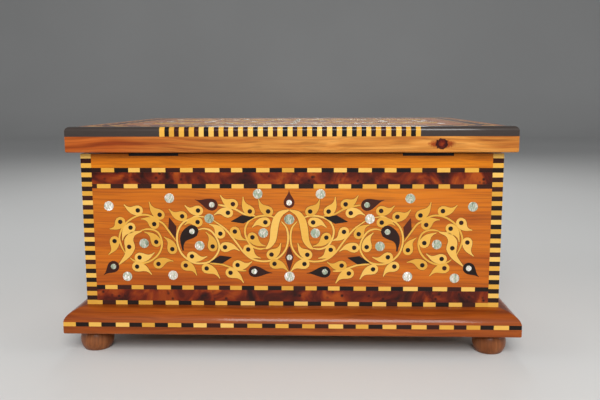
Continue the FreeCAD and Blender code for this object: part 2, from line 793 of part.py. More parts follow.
def mainspring():
    """The spring strip: half turns whose radius grows by half the coil pitch each time."""
    pitch, strip, half_turns = 1.55, 0.3, 13
    inner, outer = [], []
    radius, end = 2.6, Vector(2.6, 0, 0)
    for index in range(half_turns):
        way = 1 if index % 2 == 0 else -1
        centre = end - Vector(radius * way, 0, 0)
        for edges, reach in ((inner, radius), (outer, radius + strip)):
            edges.append(Part.Arc(centre + Vector(reach * way, 0, 0),
                                  centre + Vector(0, reach * way, 0),
                                  centre - Vector(reach * way, 0, 0)).toShape())
        end = centre - Vector(radius * way, 0, 0)
        radius += pitch / 2
    caps = [Part.makeLine(Vector(2.6, 0, 0), Vector(2.6 + strip, 0, 0)),
            Part.makeLine(inner[-1].Vertexes[-1].Point, outer[-1].Vertexes[-1].Point)]
    edges = Part.sortEdges(inner + outer + caps)[0]
    strip_face = Part.Face(Part.Wire(edges)).extrude(Vector(0, 0, 8))
    strip_face.translate(Vector(0, 0, 4.6))
    return strip_face


def worm():
    """The governor's single-thread worm: a helical rib on a straight core."""
    lead = math.pi * WORM_MODULE
    turns = 6
    start = AXLE - lead * turns / 2
    core = 1.1
    crest, foot = 0.18, 0.34
    path = Part.Wire(Part.makeHelix(lead, lead * turns, core))
    rib = Part.makePolygon([Vector(core - 0.2, 0, -foot), Vector(WORM_RADIUS + 0.5, 0, -crest),
                            Vector(WORM_RADIUS + 0.5, 0, crest), Vector(core - 0.2, 0, foot),
                            Vector(core - 0.2, 0, -foot)])
    thread = path.makePipeShell([rib], True, True)
    thread.translate(Vector(0, 0, start))
    body = shaft(core, lead * turns + 1.6, 0, 0, start - 0.8)
    spindle = shaft(0.7, 36.4, 0, 0, 3.6)
    governor = body.fuse(thread).fuse(spindle)
    governor.translate(Vector(WORM_U, WORM_V, 0))
    return governor


def pinned_cylinder():
    """The brass cylinder with a pin for each note of a short round tune."""
    length = CYLINDER_END - CYLINDER_START
    barrel = shaft(CYLINDER_RADIUS, length, 0, 0, 0)
    bore = shaft(1.2, length + 2, 0, 0, -1)
    pins = []
    step = (length - 2.0) / NOTES
    for note in range(NOTES):
        beats = [(note * 7 + beat * 11) % 40 for beat in range(4)]
        for beat in sorted(set(beats)):
            pin = shaft(0.22, PIN_HEIGHT + 0.5, CYLINDER_RADIUS - 0.5, 0, 0, X_AXIS)
            pin.rotate(Vector(0, 0, 0), Z_AXIS, beat * 9.0)
            pin.translate(Vector(0, 0, 1.0 + step * (note + 0.5)))
            pins.append(pin)
    drum = barrel.cut(bore).multiFuse(pins)
    return upright_wheel(drum, 0, CYLINDER_START, AXLE)


def comb_plate():
    """The steel comb: a clamped back edge and eighteen teeth, longest for the lowest note."""
    length = CYLINDER_END - CYLINDER_START
    step = (length - 2.0) / NOTES
    tip = -(CYLINDER_RADIUS + PIN_HEIGHT + 0.2)
    plate = slab(-24, tip, CYLINDER_START, CYLINDER_END, AXLE - 0.6, AXLE + 0.6)
    slots = []
    for note in range(NOTES + 1):
        reach = 9.0 - 4.0 * note / NOTES
        middle = CYLINDER_START + 1.0 + step * note
        slots.append(slab(tip - reach, tip + 1, middle - 0.16, middle + 0.16,
                          AXLE - 2, AXLE + 2))
    return plate.cut(Part.makeCompound(slots))


def make_bedplate(screws):
    """The cast bedplate with the comb's riser and the cylinder's two bearing brackets."""
    body = new_body("bed_body")
    face = sketch_on(body, "bed_face", "XY_Plane")
    rectangle(face, -26, -18, 24, 60)
    pad(body, face, BED)
    hole = sketch_on(body, "bed_hole", "XY_Plane", BED)
    circle(hole, 0, 0, 2 + number(running))
    pocket(body, hole, BED + 1)
    place(body, movement_along, movement_across, floor_level)
    riser = on_bed("comb_riser", slab(-24, -16.5, CYLINDER_START, CYLINDER_END, BED, AXLE - 0.6))
    bearing = shaft(1.2 + number(running), 80, 0, 0, AXLE, Y_AXIS)
    brackets = [on_bed("cylinder_bracket", slab(-5, 5, v, v + 1.6, BED, AXLE + 4).cut(bearing))
                for v in (14.9, 44.4)]
    post = on_bed("stop_post", slab(16, 18.4, STOP_V - 2, STOP_V + 2, BED, STOP_W + 2))
    pivot = on_bed("stop_pivot", shaft(0.9, 11.4, STOP_U - 2.4, STOP_V, STOP_W, X_AXIS))
    casting = joined("bed_casting", [body, riser] + brackets + [post, pivot])
    publish("movement_bedplate", cut("movement_bedplate", casting, screws))


def make_spring_housing():
    """The pressed cup over the mainspring, open to the arbor at the top."""
    body = new_body("cup_body")
    section = sketch_on(body, "cup_section", "XZ_Plane")
    outline(section, [(14.2, BED), (14.2, 14), (2.6, 14), (2.6, 13), (13.2, 13), (13.2, BED)])
    revolve(body, section)
    publish("spring_housing", place(body, movement_along, movement_across, floor_level))
    publish("mainspring", on_bed("mainspring", mainspring()))


def make_winding():
    """Winding arbor down through the floor, butterfly key and crown wheel."""
    body = new_body("arbor_body")
    section = sketch_on(body, "arbor_section", "XZ_Plane")
    outline(section, [(0, -20), (1.6, -20), (1.6, -9.5), (2, -9.5), (2, 17), (0, 17)])
    revolve(body, section)
    publish("winding_arbor", place(body, movement_along, movement_across, floor_level))
    bore = on_bed("crown_bore", shaft(2, 10, 0, 0, 10))
    crown = on_bed("crown_blank", crown_wheel())
    publish("crown_wheel", cut("crown_wheel", crown, [bore]))
    hub = rod("key_hub", 3.6, 12, movement_along, movement_across, floor_level - 21.5)
    web = centred("key_web", Dim(20, "20"), Dim(2, "2"), Dim(9, "9"), movement_along,
                  movement_across, floor_level - 28)
    wings, eyes = [], []
    for way in (-1, 1):
        x = movement_along + 7.5 * way
        wings.append(rod_along_y("key_wing", 6.5, 2, x, movement_across - 1, floor_level - 24))
        eyes.append(rod_along_y("key_eye", 3.2, 6, x, movement_across - 3, floor_level - 24))
    key = joined("key_blank", [hub, web] + wings)
    publish("winding_key", cut("winding_key", key, eyes + [parts["winding_arbor"]]))


def make_cylinder():
    """Pinned cylinder on its arbor, with the pinion that the crown wheel turns."""
    arbor = shaft(1.2, 36.2, 0, 10.9, AXLE, Y_AXIS)
    pinion = toothed(PINION_TEETH, CROWN_MODULE, 0.3, 0.5, 0.7, 1.6)
    turn = 90 + 180.0 / PINION_TEETH
    geared = arbor.fuse(upright_wheel(pinion, 0, 11.2, AXLE, turn))
    publish("cylinder_arbor", on_bed("cylinder_arbor", geared))
    publish("pinned_cylinder", on_bed("pinned_cylinder", pinned_cylinder()))
    wheel = toothed(WHEEL_TEETH, FINE_MODULE, 0.36, 0.45, 0.6, 1.6)
    wheel = wheel.cut(shaft(1.2, 4, 0, 0, -1))
    for index in range(4):
        angle = math.radians(45 + 90 * index)
        window = shaft(2.6, 4, 6.5 * math.cos(angle), 6.5 * math.sin(angle), -1)
        wheel = wheel.cut(window)
    publish("cylinder_wheel", on_bed("cylinder_wheel", upright_wheel(wheel, 0, 41.6, AXLE)))


def make_train():
    """The step-up shaft: a leaf pinion in mesh with the cylinder's wheel, and the worm wheel."""
    arbor = shaft(0.8, 14.6, SHAFT_U, 40.9, AXLE, Y_AXIS)
    leaves = toothed(LEAF_TEETH, FINE_MODULE, 0.34, 0.4, 0.6, 1.9)
    turn = 180.0 / LEAF_TEETH
    geared = arbor.fuse(upright_wheel(leaves, SHAFT_U, 41.4, AXLE, turn))
    publish("train_arbor", on_bed("train_arbor", geared))
    wheel = toothed(WORM_TEETH, WORM_MODULE, 0.3, 0.4, 0.7, 1.6).cut(shaft(0.8, 4, 0, 0, -1))
    wheel_turn = 180.0 / WORM_TEETH
    publish("worm_wheel", on_bed("worm_wheel", upright_wheel(wheel, SHAFT_U, WORM_V - 0.8,
                                                             AXLE, wheel_turn)))


def make_governor():
    """Worm spindle with a two-bladed fly, and the frame that carries both shafts."""
    publish("governor_worm", on_bed("governor_worm", worm()))
    hub = shaft(2.2, 7.4, WORM_U, WORM_V, 29.6).fuse(shaft(4, 0.6, WORM_U, WORM_V, 36.4))
    for way in (-1, 1):
        reach = sorted((WORM_U + 1.5 * way, WORM_U + 6.8 * way))
        hub = hub.fuse(slab(reach[0], reach[1], WORM_V - 0.35, WORM_V + 0.35, 30.2, 36.2))
    fly = hub.cut(shaft(0.7, 20, WORM_U, WORM_V, 25))
    publish("governor_fly", on_bed("governor_fly", fly))
    step = shaft(0.8 + number(running), 20, SHAFT_U, 44, AXLE, Y_AXIS)
    pivot = shaft(0.7 + number(running), 40, WORM_U, WORM_V, 3.5)
    frame = slab(2, 24, 46.8, 57.4, BED, 4.4)
    frame = frame.fuse(slab(10, 19, 46.8, 48.4, BED, 29.2))
    frame = frame.fuse(slab(10, 19, 53.6, 55.2, BED, 29.2))
    frame = frame.fuse(slab(16.6, 19, 46.8, 55.2, 26.8, 29.2))
    frame = frame.fuse(slab(16.6, 19, 49.8, 52.4, 26.8, 40.6))
    frame = frame.fuse(slab(5.6, 19, 49.8, 52.4, 38.8, 40.6))
    frame = frame.cut(step).cut(pivot)
    return on_bed("governor_frame_blank", frame)


def make_stop():
    """The stop lever above the fly and the rod that the lid presses down."""
    arm = slab(STOP_U - 1.2, STOP_U + 1.2, STOP_V - 2, 48.4, STOP_W - 0.6, STOP_W + 0.6)
    boss = shaft(2, 2.4, STOP_U - 1.2, STOP_V, STOP_W, X_AXIS)
    lever = arm.fuse(boss).cut(shaft(0.9 + number(running), 8, STOP_U - 4, STOP_V, STOP_W, X_AXIS))
    publish("stop_lever", on_bed("stop_lever", lever))
    foot = STOP_W + 0.6 + 0.4
    top = number(lid_level - floor_level) + 0.2
    stem = shaft(1.1, top - foot, STOP_U, STOP_ROD_V, foot)
    cap = shaft(2.4, 1.0, STOP_U, STOP_ROD_V, top - 1.0)
    publish("stop_rod", on_bed("stop_rod", stem.fuse(cap)))


def make_movement():
    """All of the movement and the screws that hold it."""
    mounting = turned("mounting_screw", [(0, -2.4), (2.4, -2.4, 1.2), (3.4, -1.4), (3.4, 0),
                                         (1.5, 0), (1.5, 12), (0, 12)])
    spots = [(movement_along + u, movement_across + v, floor_level - floor_board)
             for u, v in ((-21, -13), (19, -13), (-10, 52))]
    mounting_screws = publish("mounting_screws", copies("mounting_screws", mounting, spots))
    small = turned("small_screw", [(0, -3), (0.9, -3), (0.9, 0), (1.8, 0),
                                   (1.8, 0.8, dome(1.8, 0.6)), (0, 1.4)])
    spots = [(movement_along - 20.5, movement_across + v, floor_level + AXLE + 0.6)
             for v in (22, 36)]
    comb_screws = publish("comb_screws", copies("comb_screws", small, spots))
    spots = [(movement_along + u, movement_across + v, floor_level + 4.4)
             for u, v in ((4, 55), (21.5, 49))]
    frame_screws = publish("governor_screws", copies("governor_screws", small, spots))
    make_bedplate([mounting_screws, comb_screws, frame_screws])
    make_spring_housing()
    make_winding()
    make_cylinder()
    comb = on_bed("comb_blank", comb_plate())
    publish("comb", cut("comb", comb, [comb_screws]))
    make_train()
    publish("governor_frame", cut("governor_frame", make_governor(), [frame_screws]))
    make_stop()
    return mounting_screws


# ------------------------------------------------------------------- assembly

def check_document():
    """Stop if any object failed or any sub-part is empty, broken or not a solid."""
    for item in doc.Objects:
        bad = [state for state in item.State if state in ("Invalid", "Error")]
        if bad:
            raise RuntimeError("%s is %s" % (item.Label, bad))
    for label, item in parts.items():
        shape = item.Shape
        if shape.isNull() or not shape.isValid() or not shape.Solids:
            raise RuntimeError("%s has no valid solid" % label)


def write_parts():
    """Write each sub-part to its own file."""
    os.makedirs("parts", exist_ok=True)
    for label, item in parts.items():
        item.Shape.exportStep("parts/%s.step" % label)
    print("%d sub-parts written" % len(parts))


foot_dowels = make_feet()
make_plinth(foot_dowels)
edge_string = string_ring("plinth_string", plinth_half_width, plinth_half_depth,
                          foot_height + plinth_edge - string_width)
publish("plinth_strings", group("plinth_strings", edge_string))
floor_screws = make_movement()
make_bottom_board(floor_screws)
lid_leaves, lid_screws, case_leaves, case_screws = make_hinges()
make_walls(case_leaves, case_screws)
make_corner_posts()
make_bands()
make_pads()
make_bay()
make_linings()
make_lid(lid_leaves, lid_screws)
make_edging()
doc.recompute()
check_document()
write_parts()
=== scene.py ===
# %% [markdown]
# # A wind-up music box in inlaid thuya wood
# The real object is a small wooden case on four turned ball feet. Its faces are veneered
# with thuya, a fragrant orange-brown conifer, and inlaid with lemonwood scrolls,
# mother-of-pearl discs and strings of light and dark blocks. Inside are a velvet-lined
# compartment and, under a clear cover, a pinned-cylinder movement that is wound with a
# brass key below the box.
#
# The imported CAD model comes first: every place in this lesson is read from it.

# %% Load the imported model
import math

import bmesh
import bpy
import numpy as np
from mathutils import Matrix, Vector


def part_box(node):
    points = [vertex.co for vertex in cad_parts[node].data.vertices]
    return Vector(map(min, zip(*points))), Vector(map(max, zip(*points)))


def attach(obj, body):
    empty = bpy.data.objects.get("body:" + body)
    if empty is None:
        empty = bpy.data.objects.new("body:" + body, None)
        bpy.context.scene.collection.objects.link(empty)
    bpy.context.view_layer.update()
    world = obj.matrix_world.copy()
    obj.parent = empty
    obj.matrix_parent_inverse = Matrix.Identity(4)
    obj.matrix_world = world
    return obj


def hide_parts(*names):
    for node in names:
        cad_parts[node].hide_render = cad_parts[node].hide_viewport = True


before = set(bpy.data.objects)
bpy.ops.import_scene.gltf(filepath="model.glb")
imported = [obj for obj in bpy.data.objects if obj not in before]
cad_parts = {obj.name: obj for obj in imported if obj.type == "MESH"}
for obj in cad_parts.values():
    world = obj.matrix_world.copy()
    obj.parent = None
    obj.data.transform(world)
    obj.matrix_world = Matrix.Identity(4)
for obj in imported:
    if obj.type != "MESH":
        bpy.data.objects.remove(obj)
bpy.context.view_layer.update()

MM = 0.001

# %% [markdown]
# ## The camera
# A product picture of a box is taken from the front with the eye just above the lid, so
# that the lid's top is a thin sliver. The camera could be aimed with a Track To constraint,
# but three plain angles say more clearly how it stands: turned a little to the left, tipped
# a little down, and hardly rolled. The Standard view shows a colour on the screen as it is
# given to the wood, where the filmic one would grey the oranges.

# %% Camera: its place, its three angles and its lens
def camera_axes(turned_left, tipped_down, rolled):
    """Right, up and backward axes of a camera that looks along +Y, turned about Z, then
    tipped down, then rolled about its own line of sight."""
    turn, tip, roll = np.radians([turned_left, tipped_down, rolled])
    forward = np.array([-np.sin(turn) * np.cos(tip), np.cos(turn) * np.cos(tip), -np.sin(tip)])
    level = np.array([np.cos(turn), np.sin(turn), 0])
    upright = np.cross(level, forward)
    right = np.cos(roll) * level + np.sin(roll) * upright
    up = np.cos(roll) * upright - np.sin(roll) * level
    return right, up, -forward


EYE_PLACE = np.array([23.5, -568, 173])  # mm
TURNED_LEFT, TIPPED_DOWN, ROLLED = 2.1, 8.27, -0.2  # degrees
LENS = 41  # mm, for a sensor 36 mm wide
placing = np.eye(4)
placing[:3, :3] = np.array(camera_axes(TURNED_LEFT, TIPPED_DOWN, ROLLED)).T
placing[:3, 3] = EYE_PLACE * MM
camera_lens = bpy.data.cameras.new("studio_camera")
camera_lens.lens = LENS
camera_lens.clip_start = 0.01
camera = bpy.data.objects.new("studio_camera", camera_lens)
bpy.context.scene.collection.objects.link(camera)
camera.matrix_world = Matrix(placing.tolist())
bpy.context.scene.camera = camera
bpy.context.scene.view_settings.view_transform = "Standard"
print("camera stands", -EYE_PLACE[1], "mm in front of the box's middle")

# %% [markdown]
# ## Reading places from the model
# All making below is in millimetres, the maker's own unit, and turned to metres in one
# place, where a mesh is made. `span` reads a node's lowest and highest corner. Each outer
# face of the box gets a frame of its own: an origin, a direction along the face, a
# direction up it and a direction out of it. A pattern drawn once in (along, up, out) can
# then be laid on any face.

# %% Places and face frames
def span(name):
    """Lowest and highest corner of a CAD node, in millimetres."""
    low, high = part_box(name)
    return np.array(low) / MM, np.array(high) / MM


def side_frames(half_width, half_depth):
    """Frame of each upright side of a box of this size: (origin, along, up, out)."""
    up = (0, 0, 1)
    return {"front": ((0, -half_depth, 0), (1, 0, 0), up, (0, -1, 0)),
            "right": ((half_width, 0, 0), (0, 1, 0), up, (1, 0, 0)),
            "back": ((0, half_depth, 0), (-1, 0, 0), up, (0, 1, 0)),
            "left": ((-half_width, 0, 0), (0, -1, 0), up, (-1, 0, 0))}


def lay(points, face):
    """Carry (along, up, out) points to the box: origin + along, up and out directions
    times the three numbers."""
    origin, along, up, out = (np.array(part, float) for part in face)
    return origin + points @ np.stack([along, up, out])


case_half = np.array([span("right_wall")[1][0], span("back_wall")[1][1]])
floor_level, rim_level = span("front_wall")[0][2], span("front_wall")[1][2]
post_width = case_half[0] - span("front_wall")[1][0]
case_faces = side_frames(*case_half)
half_length = {"front": case_half[0], "back": case_half[0],
               "left": case_half[1], "right": case_half[1]}
print("case", 2 * case_half, "mm, from", round(floor_level, 1), "to", round(rim_level, 1))

# %% [markdown]
# ## Skins over rows of points
# Nearly every new piece here is one idea: rows of points, each row a closed outline, with
# a skin stretched from row to row and a cap on each end. A block has two rows of four
# points, a leaf about a dozen, a turned foot a few dozen. Blender's primitives could be
# joined instead, but rows worked out as numpy arrays give hundreds of shapes in one call.

# %% Skins, and pieces made of them
def skin(rows):
    """Rows of outlines, as an array (..., rows, points, 3), skinned from row to row.
    Point j of row i makes a quad with point j + 1 and with the same two points of row
    i + 1. The first and last row of every shape become its caps."""
    count, width = rows.shape[-3:-1]
    shapes = rows.reshape(-1, count, width, 3)
    index = np.arange(shapes[..., 0].size).reshape(-1, count, width)
    ahead = np.roll(index, -1, axis=2)
    quads = np.stack([index[:, :-1], ahead[:, :-1], ahead[:, 1:], index[:, 1:]], axis=-1)
    caps = index[:, [0, -1]].reshape(-1, width)
    return shapes.reshape(-1, 3), quads.reshape(-1, 4).tolist() + caps.tolist()


def joined(skins):
    """Several skins as one: points one after the other, and faces renumbered to match."""
    starts = np.cumsum([0] + [len(points) for points, _ in skins[:-1]])
    points = np.concatenate([points for points, _ in skins])
    faces = [[corner + int(start) for corner in face]
             for start, (_, part) in zip(starts, skins) for face in part]
    return points, faces


def piece(name, shape, materials, body, stands_for=(), smooth=True, finish=None,
          tone=None):
    """Make a mesh object from (points in mm, faces). finish gives each face its material,
    tone gives each point a number that its material reads. Normals are turned outwards,
    and edges sharper than SHARP stay sharp."""
    points, faces = shape
    mesh = bpy.data.meshes.new(name)
    mesh.from_pydata((np.asarray(points) * MM).tolist(), [], faces)
    for material in materials:
        mesh.materials.append(material)
    if finish is not None:
        mesh.polygons.foreach_set("material_index", np.asarray(finish, np.int32))
    if tone is not None:
        mesh.attributes.new("tone", "FLOAT", "POINT").data.foreach_set(
            "value", np.asarray(tone, np.float32))
    work = bmesh.new()
    work.from_mesh(mesh)
    bmesh.ops.recalc_face_normals(work, faces=work.faces)
    work.to_mesh(mesh)
    work.free()
    mesh.polygons.foreach_set("use_smooth", np.full(len(mesh.polygons), smooth))
    if smooth:
        mesh.set_sharp_from_angle(angle=SHARP)
    made = bpy.data.objects.new(name, mesh)
    bpy.context.scene.collection.objects.link(made)
    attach(made, body)
    if stands_for:
        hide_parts(*stands_for)
    return made


SHARP = math.radians(32)
draws = np.random.default_rng(18)
print("skins ready")

# %% [markdown]
# ## Materials
# A material here is a small tree of nodes that ends in one shader. Two helpers do the work:
# one turns a colour as a screen shows it into the linear light that the shader needs, and
# one adds a node with its settings, its links and, for a colour ramp, its stops. The rest
# are short names for the nodes that every finish uses: noise, sums, ramps and relief.

# %% Colours and nodes
def linear(colour):
    """An sRGB hex colour as linear red, green, blue and alpha: each channel c becomes
    c / 12.92 when small, and ((c + 0.055) / 1.055) to the power 2.4 otherwise."""
    channels = np.array([int(colour[i:i + 2], 16) for i in (1, 3, 5)]) / 255
    light = np.where(channels < 0.04045, channels / 12.92, ((channels + 0.055) / 1.055) ** 2.4)
    return (*light.tolist(), 1.0)


def add(tree, kind, inputs=(), stops=(), **settings):
    """Add a node. inputs pairs a socket's name or number with a value, a hex colour or
    another node's output, stops are a ramp's (place, hex colour) pairs, and settings are
    the node's own properties."""
    made = tree.nodes.new("ShaderNode" + kind)
    for name, value in settings.items():
        setattr(made, name, value)
    for name, value in dict(inputs).items():
        if isinstance(value, bpy.types.NodeSocket):
            tree.links.new(value, made.inputs[name])
        else:
            made.inputs[name].default_value = (linear(value) if isinstance(value, str)
                                               else value)
    for number, (place, colour) in enumerate(stops):
        ramp = made.color_ramp.elements
        stop = ramp[number] if number < 2 else ramp.new(place)
        stop.position, stop.color = place, linear(colour)
    return made


def new_material(name):
    """An empty material: itself, its tree, a Principled shader linked to the output, and
    the place on the object that textures are read at."""
    material = bpy.data.materials.new(name)
    material.use_nodes = True
    tree = material.node_tree
    tree.nodes.clear()
    shader = add(tree, "BsdfPrincipled")
    add(tree, "OutputMaterial", {"Surface": shader.outputs[0]})
    return material, tree, shader, add(tree, "TexCoord").outputs["Object"]


def noise(tree, place, scale, detail, turned=(0, 0, 0), **more):
    """Noise between 0 and 1. scale is its cells in a metre, or one number for each axis
    when it is stretched, and more are the node's other inputs."""
    if not isinstance(scale, float):
        place = add(tree, "Mapping", {"Vector": place, "Rotation": turned,
                                      "Scale": scale}).outputs[0]
        scale = 1.0
    return add(tree, "TexNoise", {"Vector": place, "Scale": scale, "Detail": detail,
                                  **more}).outputs["Fac"]


def maths(tree, operation, *values):
    """One number from others, by the node's own word for a sum, a product and so on."""
    return add(tree, "Math", dict(enumerate(values)), operation=operation).outputs[0]


def mapped(tree, value, **ends):
    """A value moved from one stretch of numbers to another: from_min, from_max, to_min and
    to_max."""
    names = {end.replace("_", " ").title(): number for end, number in ends.items()}
    return add(tree, "MapRange", {"Value": value, **names}).outputs[0]


def mixed_in(tree, share, before, after, blend="MULTIPLY"):
    """A colour that goes from before to after as the share goes from 0 to 1."""
    return add(tree, "Mix", {0: share, 6: before, 7: after}, data_type="RGBA",
               blend_type=blend).outputs[2]


def ramp(tree, value, stops):
    """The colour of a ramp with these (place, hex colour) stops at a value."""
    return add(tree, "ValToRGB", {"Fac": value}, stops).outputs[0]


def cover(tree, shader, colour, height, strength, distance, roughness=None):
    """Link a colour, a relief read from a height, distance mm deep, and a roughness."""
    relief = add(tree, "Bump", {"Height": height, "Strength": strength,
                                "Distance": distance * MM})
    tree.links.new(colour, shader.inputs["Base Color"])
    tree.links.new(relief.outputs[0], shader.inputs["Normal"])
    if roughness is not None:
        tree.links.new(roughness, shader.inputs["Roughness"])


def dress(shader, **sockets):
    """Set constants straight on a shader's own sockets: names are the sockets' names in
    lower case with _ for a space."""
    for name, value in sockets.items():
        socket = shader.inputs[name.replace("_", " ").title().replace("Ior", "IOR")]
        socket.default_value = linear(value) if isinstance(value, str) else value


print("white is", linear("#FFFFFF"))

# %% [markdown]
# ## Thuya wood
# Thuya is a dense conifer: straight orange-brown fibres, wide soft bands of lighter and
# redder growth, and a glassy French polish. A grain could be painted with a Wave texture,
# but real boards never repeat, so stretched noise is used: a noise whose space is squeezed
# across the fibres and drawn out along them turns into streaks. The same recipe serves
# every board of the box, with its own colours, band width and fibre direction.

# %% Grained wood under varnish
POLISH = {"ior": 1.5, "specular_ior_level": 0.12, "coat_ior": 1.3}  # thin French polish
FIBRE = 1.1      # mm, width of one visible fibre
FIBRE_LONG = 60  # mm, length over which a fibre keeps its colour
GRAIN_BEND = 12  # mm, how far the grain wanders
STREAK_STRENGTH = 0.38


def grained_wood(name, colours, along="X", band=9, band_long=140, varnish=0.7, gloss=0.1,
                 changes=()):
    """Varnished wood with its fibres along X, Y or Z. colours are its dark, middle and
    light tones, band and band_long the width and length of its growth bands in mm, and
    varnish how much clear coat lies on it."""
    material, tree, shader, place = new_material(name)

    def squeezed(across, lengthwise):
        """Space squeezed by one over the width across the fibres and one over the length
        along them."""
        return [1000 / (lengthwise if axis == along else across) for axis in "XYZ"]

    bend = add(tree, "TexNoise", {"Vector": place, "Scale": 9.0, "Detail": 2.0})
    bent = add(tree, "VectorMath", {0: bend.outputs["Color"], 1: (GRAIN_BEND * MM,) * 3},
               operation="MULTIPLY")
    flowing = add(tree, "VectorMath", {0: place, 1: bent.outputs[0]},
                  operation="ADD").outputs[0]
    bands = noise(tree, flowing, squeezed(band, band_long), 3.0, Roughness=0.55)
    fibres = noise(tree, flowing, squeezed(FIBRE, FIBRE_LONG), 2.0, Roughness=0.5)
    ground = ramp(tree, bands, list(zip((0.3, 0.5, 0.72), colours)))
    streak = ramp(tree, fibres, [(0.34, "#8A8A8A"), (0.56, "#FFFFFF")])
    colour = mixed_in(tree, STREAK_STRENGTH, ground, streak)
    for change in changes:
        colour = change(tree, place, colour)
    cover(tree, shader, colour, fibres, 0.12, 0.15, mapped(tree, fibres, to_min=0.38,
                                                           to_max=0.55))
    dress(shader, coat_weight=varnish, coat_roughness=gloss, **POLISH)
    return material


def deeper_towards_low(axis, level, reach, colour):
    """A change of colour that grows down an axis: full at level - reach, none at level +
    reach (mm). On the case walls it is painted shade towards their foot; on the lid board it
    makes one end redder."""
    def change(tree, place, before):
        height = add(tree, "SeparateXYZ", {0: place}).outputs[axis]
        share = mapped(tree, height, from_min=(level - reach) * MM,
                       from_max=(level + reach) * MM, to_min=1.0, to_max=0.0)
        return mixed_in(tree, share, before, colour)
    return change


def knot(centre, radius, front):
    """A knot: a dark red ring round mottled wood, with a shadow of bent grain beside it.
    It is read from the distance to its centre line, which runs along Y, and shows only in
    front of a place along Y (mm)."""
    shadow = [(0.0, "#C08A64"), (0.6, "#B87A4C"), (1.0, "#FFFFFF")]
    rings = [(0.0, "#F4C098"), (0.4, "#B06C48"), (0.62, "#6E3420"), (0.84, "#4A1C10"),
             (0.97, "#FFFFFF")]

    def change(tree, place, before):
        near = add(tree, "Mapping", {"Vector": place, "Location": (
            -centre[0] * MM, 0, -centre[1] * MM)}).outputs[0]
        mottle = maths(tree, "MULTIPLY_ADD", noise(tree, place, 900.0, 3.0), 0.7, -0.35)
        depth = add(tree, "SeparateXYZ", {0: place}).outputs["Y"]
        here = maths(tree, "LESS_THAN", depth, front * MM)
        for stretch, stops in (((0.42, 0.0, 1.25), shadow), ((1.0, 0.0, 1.0), rings)):
            shape = add(tree, "VectorMath", {0: near, 1: stretch}, operation="MULTIPLY")
            away = add(tree, "VectorMath", {0: shape.outputs[0]}, operation="LENGTH")
            share = maths(tree, "DIVIDE", away.outputs["Value"], radius * MM * 1.15)
            ring = ramp(tree, maths(tree, "ADD", share, mottle), stops)
            before = mixed_in(tree, here, before, ring)
        return before
    return change


lid_low, lid_high = span("lid_board")
KNOT_RADIUS = 3.65  # mm
LID_FRONT = -110    # mm along Y, just inside the lid's front face
knot_place = (100, (lid_low[2] + lid_high[2]) / 2 + 0.4)
# painted shade: the case walls are darkened towards their foot, where less light falls
painted_shade_low_on_walls = deeper_towards_low("Z", floor_level + 62, 40, "#E8D2C4")
redder_end = deeper_towards_low("X", -75, 45, "#D8A488")
THUYA = ("#A65202", "#BC6604", "#CA760A")
LIGHT_THUYA = ("#96501A", "#BC7830", "#CE8E44")
RED_THUYA = ("#6A2A04", "#863C08", "#9A4C14")
thuya_x = grained_wood("thuya_grain_along_x", THUYA, changes=[painted_shade_low_on_walls])
thuya_y = grained_wood("thuya_grain_along_y", THUYA, "Y", changes=[painted_shade_low_on_walls])
lid_x = grained_wood("light_thuya_along_x", LIGHT_THUYA, band=3.5, band_long=70,
                     changes=[redder_end, knot(knot_place, KNOT_RADIUS, LID_FRONT)])
plinth_x = grained_wood("red_thuya_along_x", RED_THUYA, band=5)
plinth_y = grained_wood("red_thuya_along_y", RED_THUYA, "Y", band=5)
plain_x = grained_wood("unvarnished_pine", ("#A87C4C", "#C09460", "#D0A878"), varnish=0.0)
# the feet's wood is darkened beyond its own colour as painted shade, for the shadow under the
# plinth
foot_wood_in_painted_shade = grained_wood("turned_foot_wood", ("#643414", "#7A4422", "#8A5430"), "Z", band=6,
                         band_long=40, varnish=0.5, gloss=0.25)
print("thuya boards:", len(bpy.data.materials), "materials so far")

# %% [markdown]
# ## Burl, ebony, lemonwood
# Thuya burl is cut from the root: no fibres, but clouds of dark red-brown and black eyes a
# millimetre or two across. Clouds are soft noise, and eyes are the cell centres of a
# Voronoi texture, shown only where a second noise is high, because real eyes stand in
# groups. The inlays are lemonwood, dyed maple that looks like it, and ebony or brown
# wood; each small block takes a slightly different tone from the number stored on its
# points.

# %% Burl
def thuya_burl():
    """Clouds of red-brown with eyes: dark where a cell's centre is under a millimetre away
    and where the group noise allows it."""
    material, tree, shader, place = new_material("thuya_burl")
    cloud = noise(tree, place, 52.0, 5.0, Distortion=1.4)
    ground = ramp(tree, cloud, [(0.34, "#220602"), (0.46, "#4C1202"), (0.56, "#6E2203"),
                                (0.7, "#96420A")])
    cells = add(tree, "TexVoronoi", {"Vector": place, "Scale": 210.0, "Randomness": 1.0})
    eye = mapped(tree, cells.outputs["Distance"], from_min=0.1, from_max=0.3, to_min=1.0,
                 to_max=0.0)
    group = mapped(tree, noise(tree, place, 45.0, 1.0), from_min=0.46, from_max=0.56)
    colour = mixed_in(tree, maths(tree, "MULTIPLY", eye, group), ground, "#1C0604", "MIX")
    cover(tree, shader, colour, cloud, 0.08, 0.2)
    dress(shader, roughness=0.4, coat_weight=0.45, coat_roughness=0.08, **POLISH)
    return material


# %% Inlay woods
def inlay_wood(name, colours, rough=0.42, coat=0.5):
    """Varnished inlay: the tone stored on each block picks its colour between these, and
    fine noise, FIGURE mm wide and eight times as long, adds the figure."""
    material, tree, shader, place = new_material(name)
    tone = add(tree, "Attribute", attribute_name="tone").outputs["Fac"]
    fine = 1000 / FIGURE
    figure = noise(tree, place, (fine / 8, fine / 8, fine), 3.0)
    value = maths(tree, "ADD", tone, maths(tree, "MULTIPLY_ADD", figure, 0.25, -0.125))
    stops = list(zip(np.linspace(0, 1, len(colours)).tolist(), colours))
    cover(tree, shader, ramp(tree, value, stops), figure, 0.06, 0.1)
    dress(shader, roughness=rough, coat_weight=coat, coat_roughness=0.09, **POLISH)
    return material


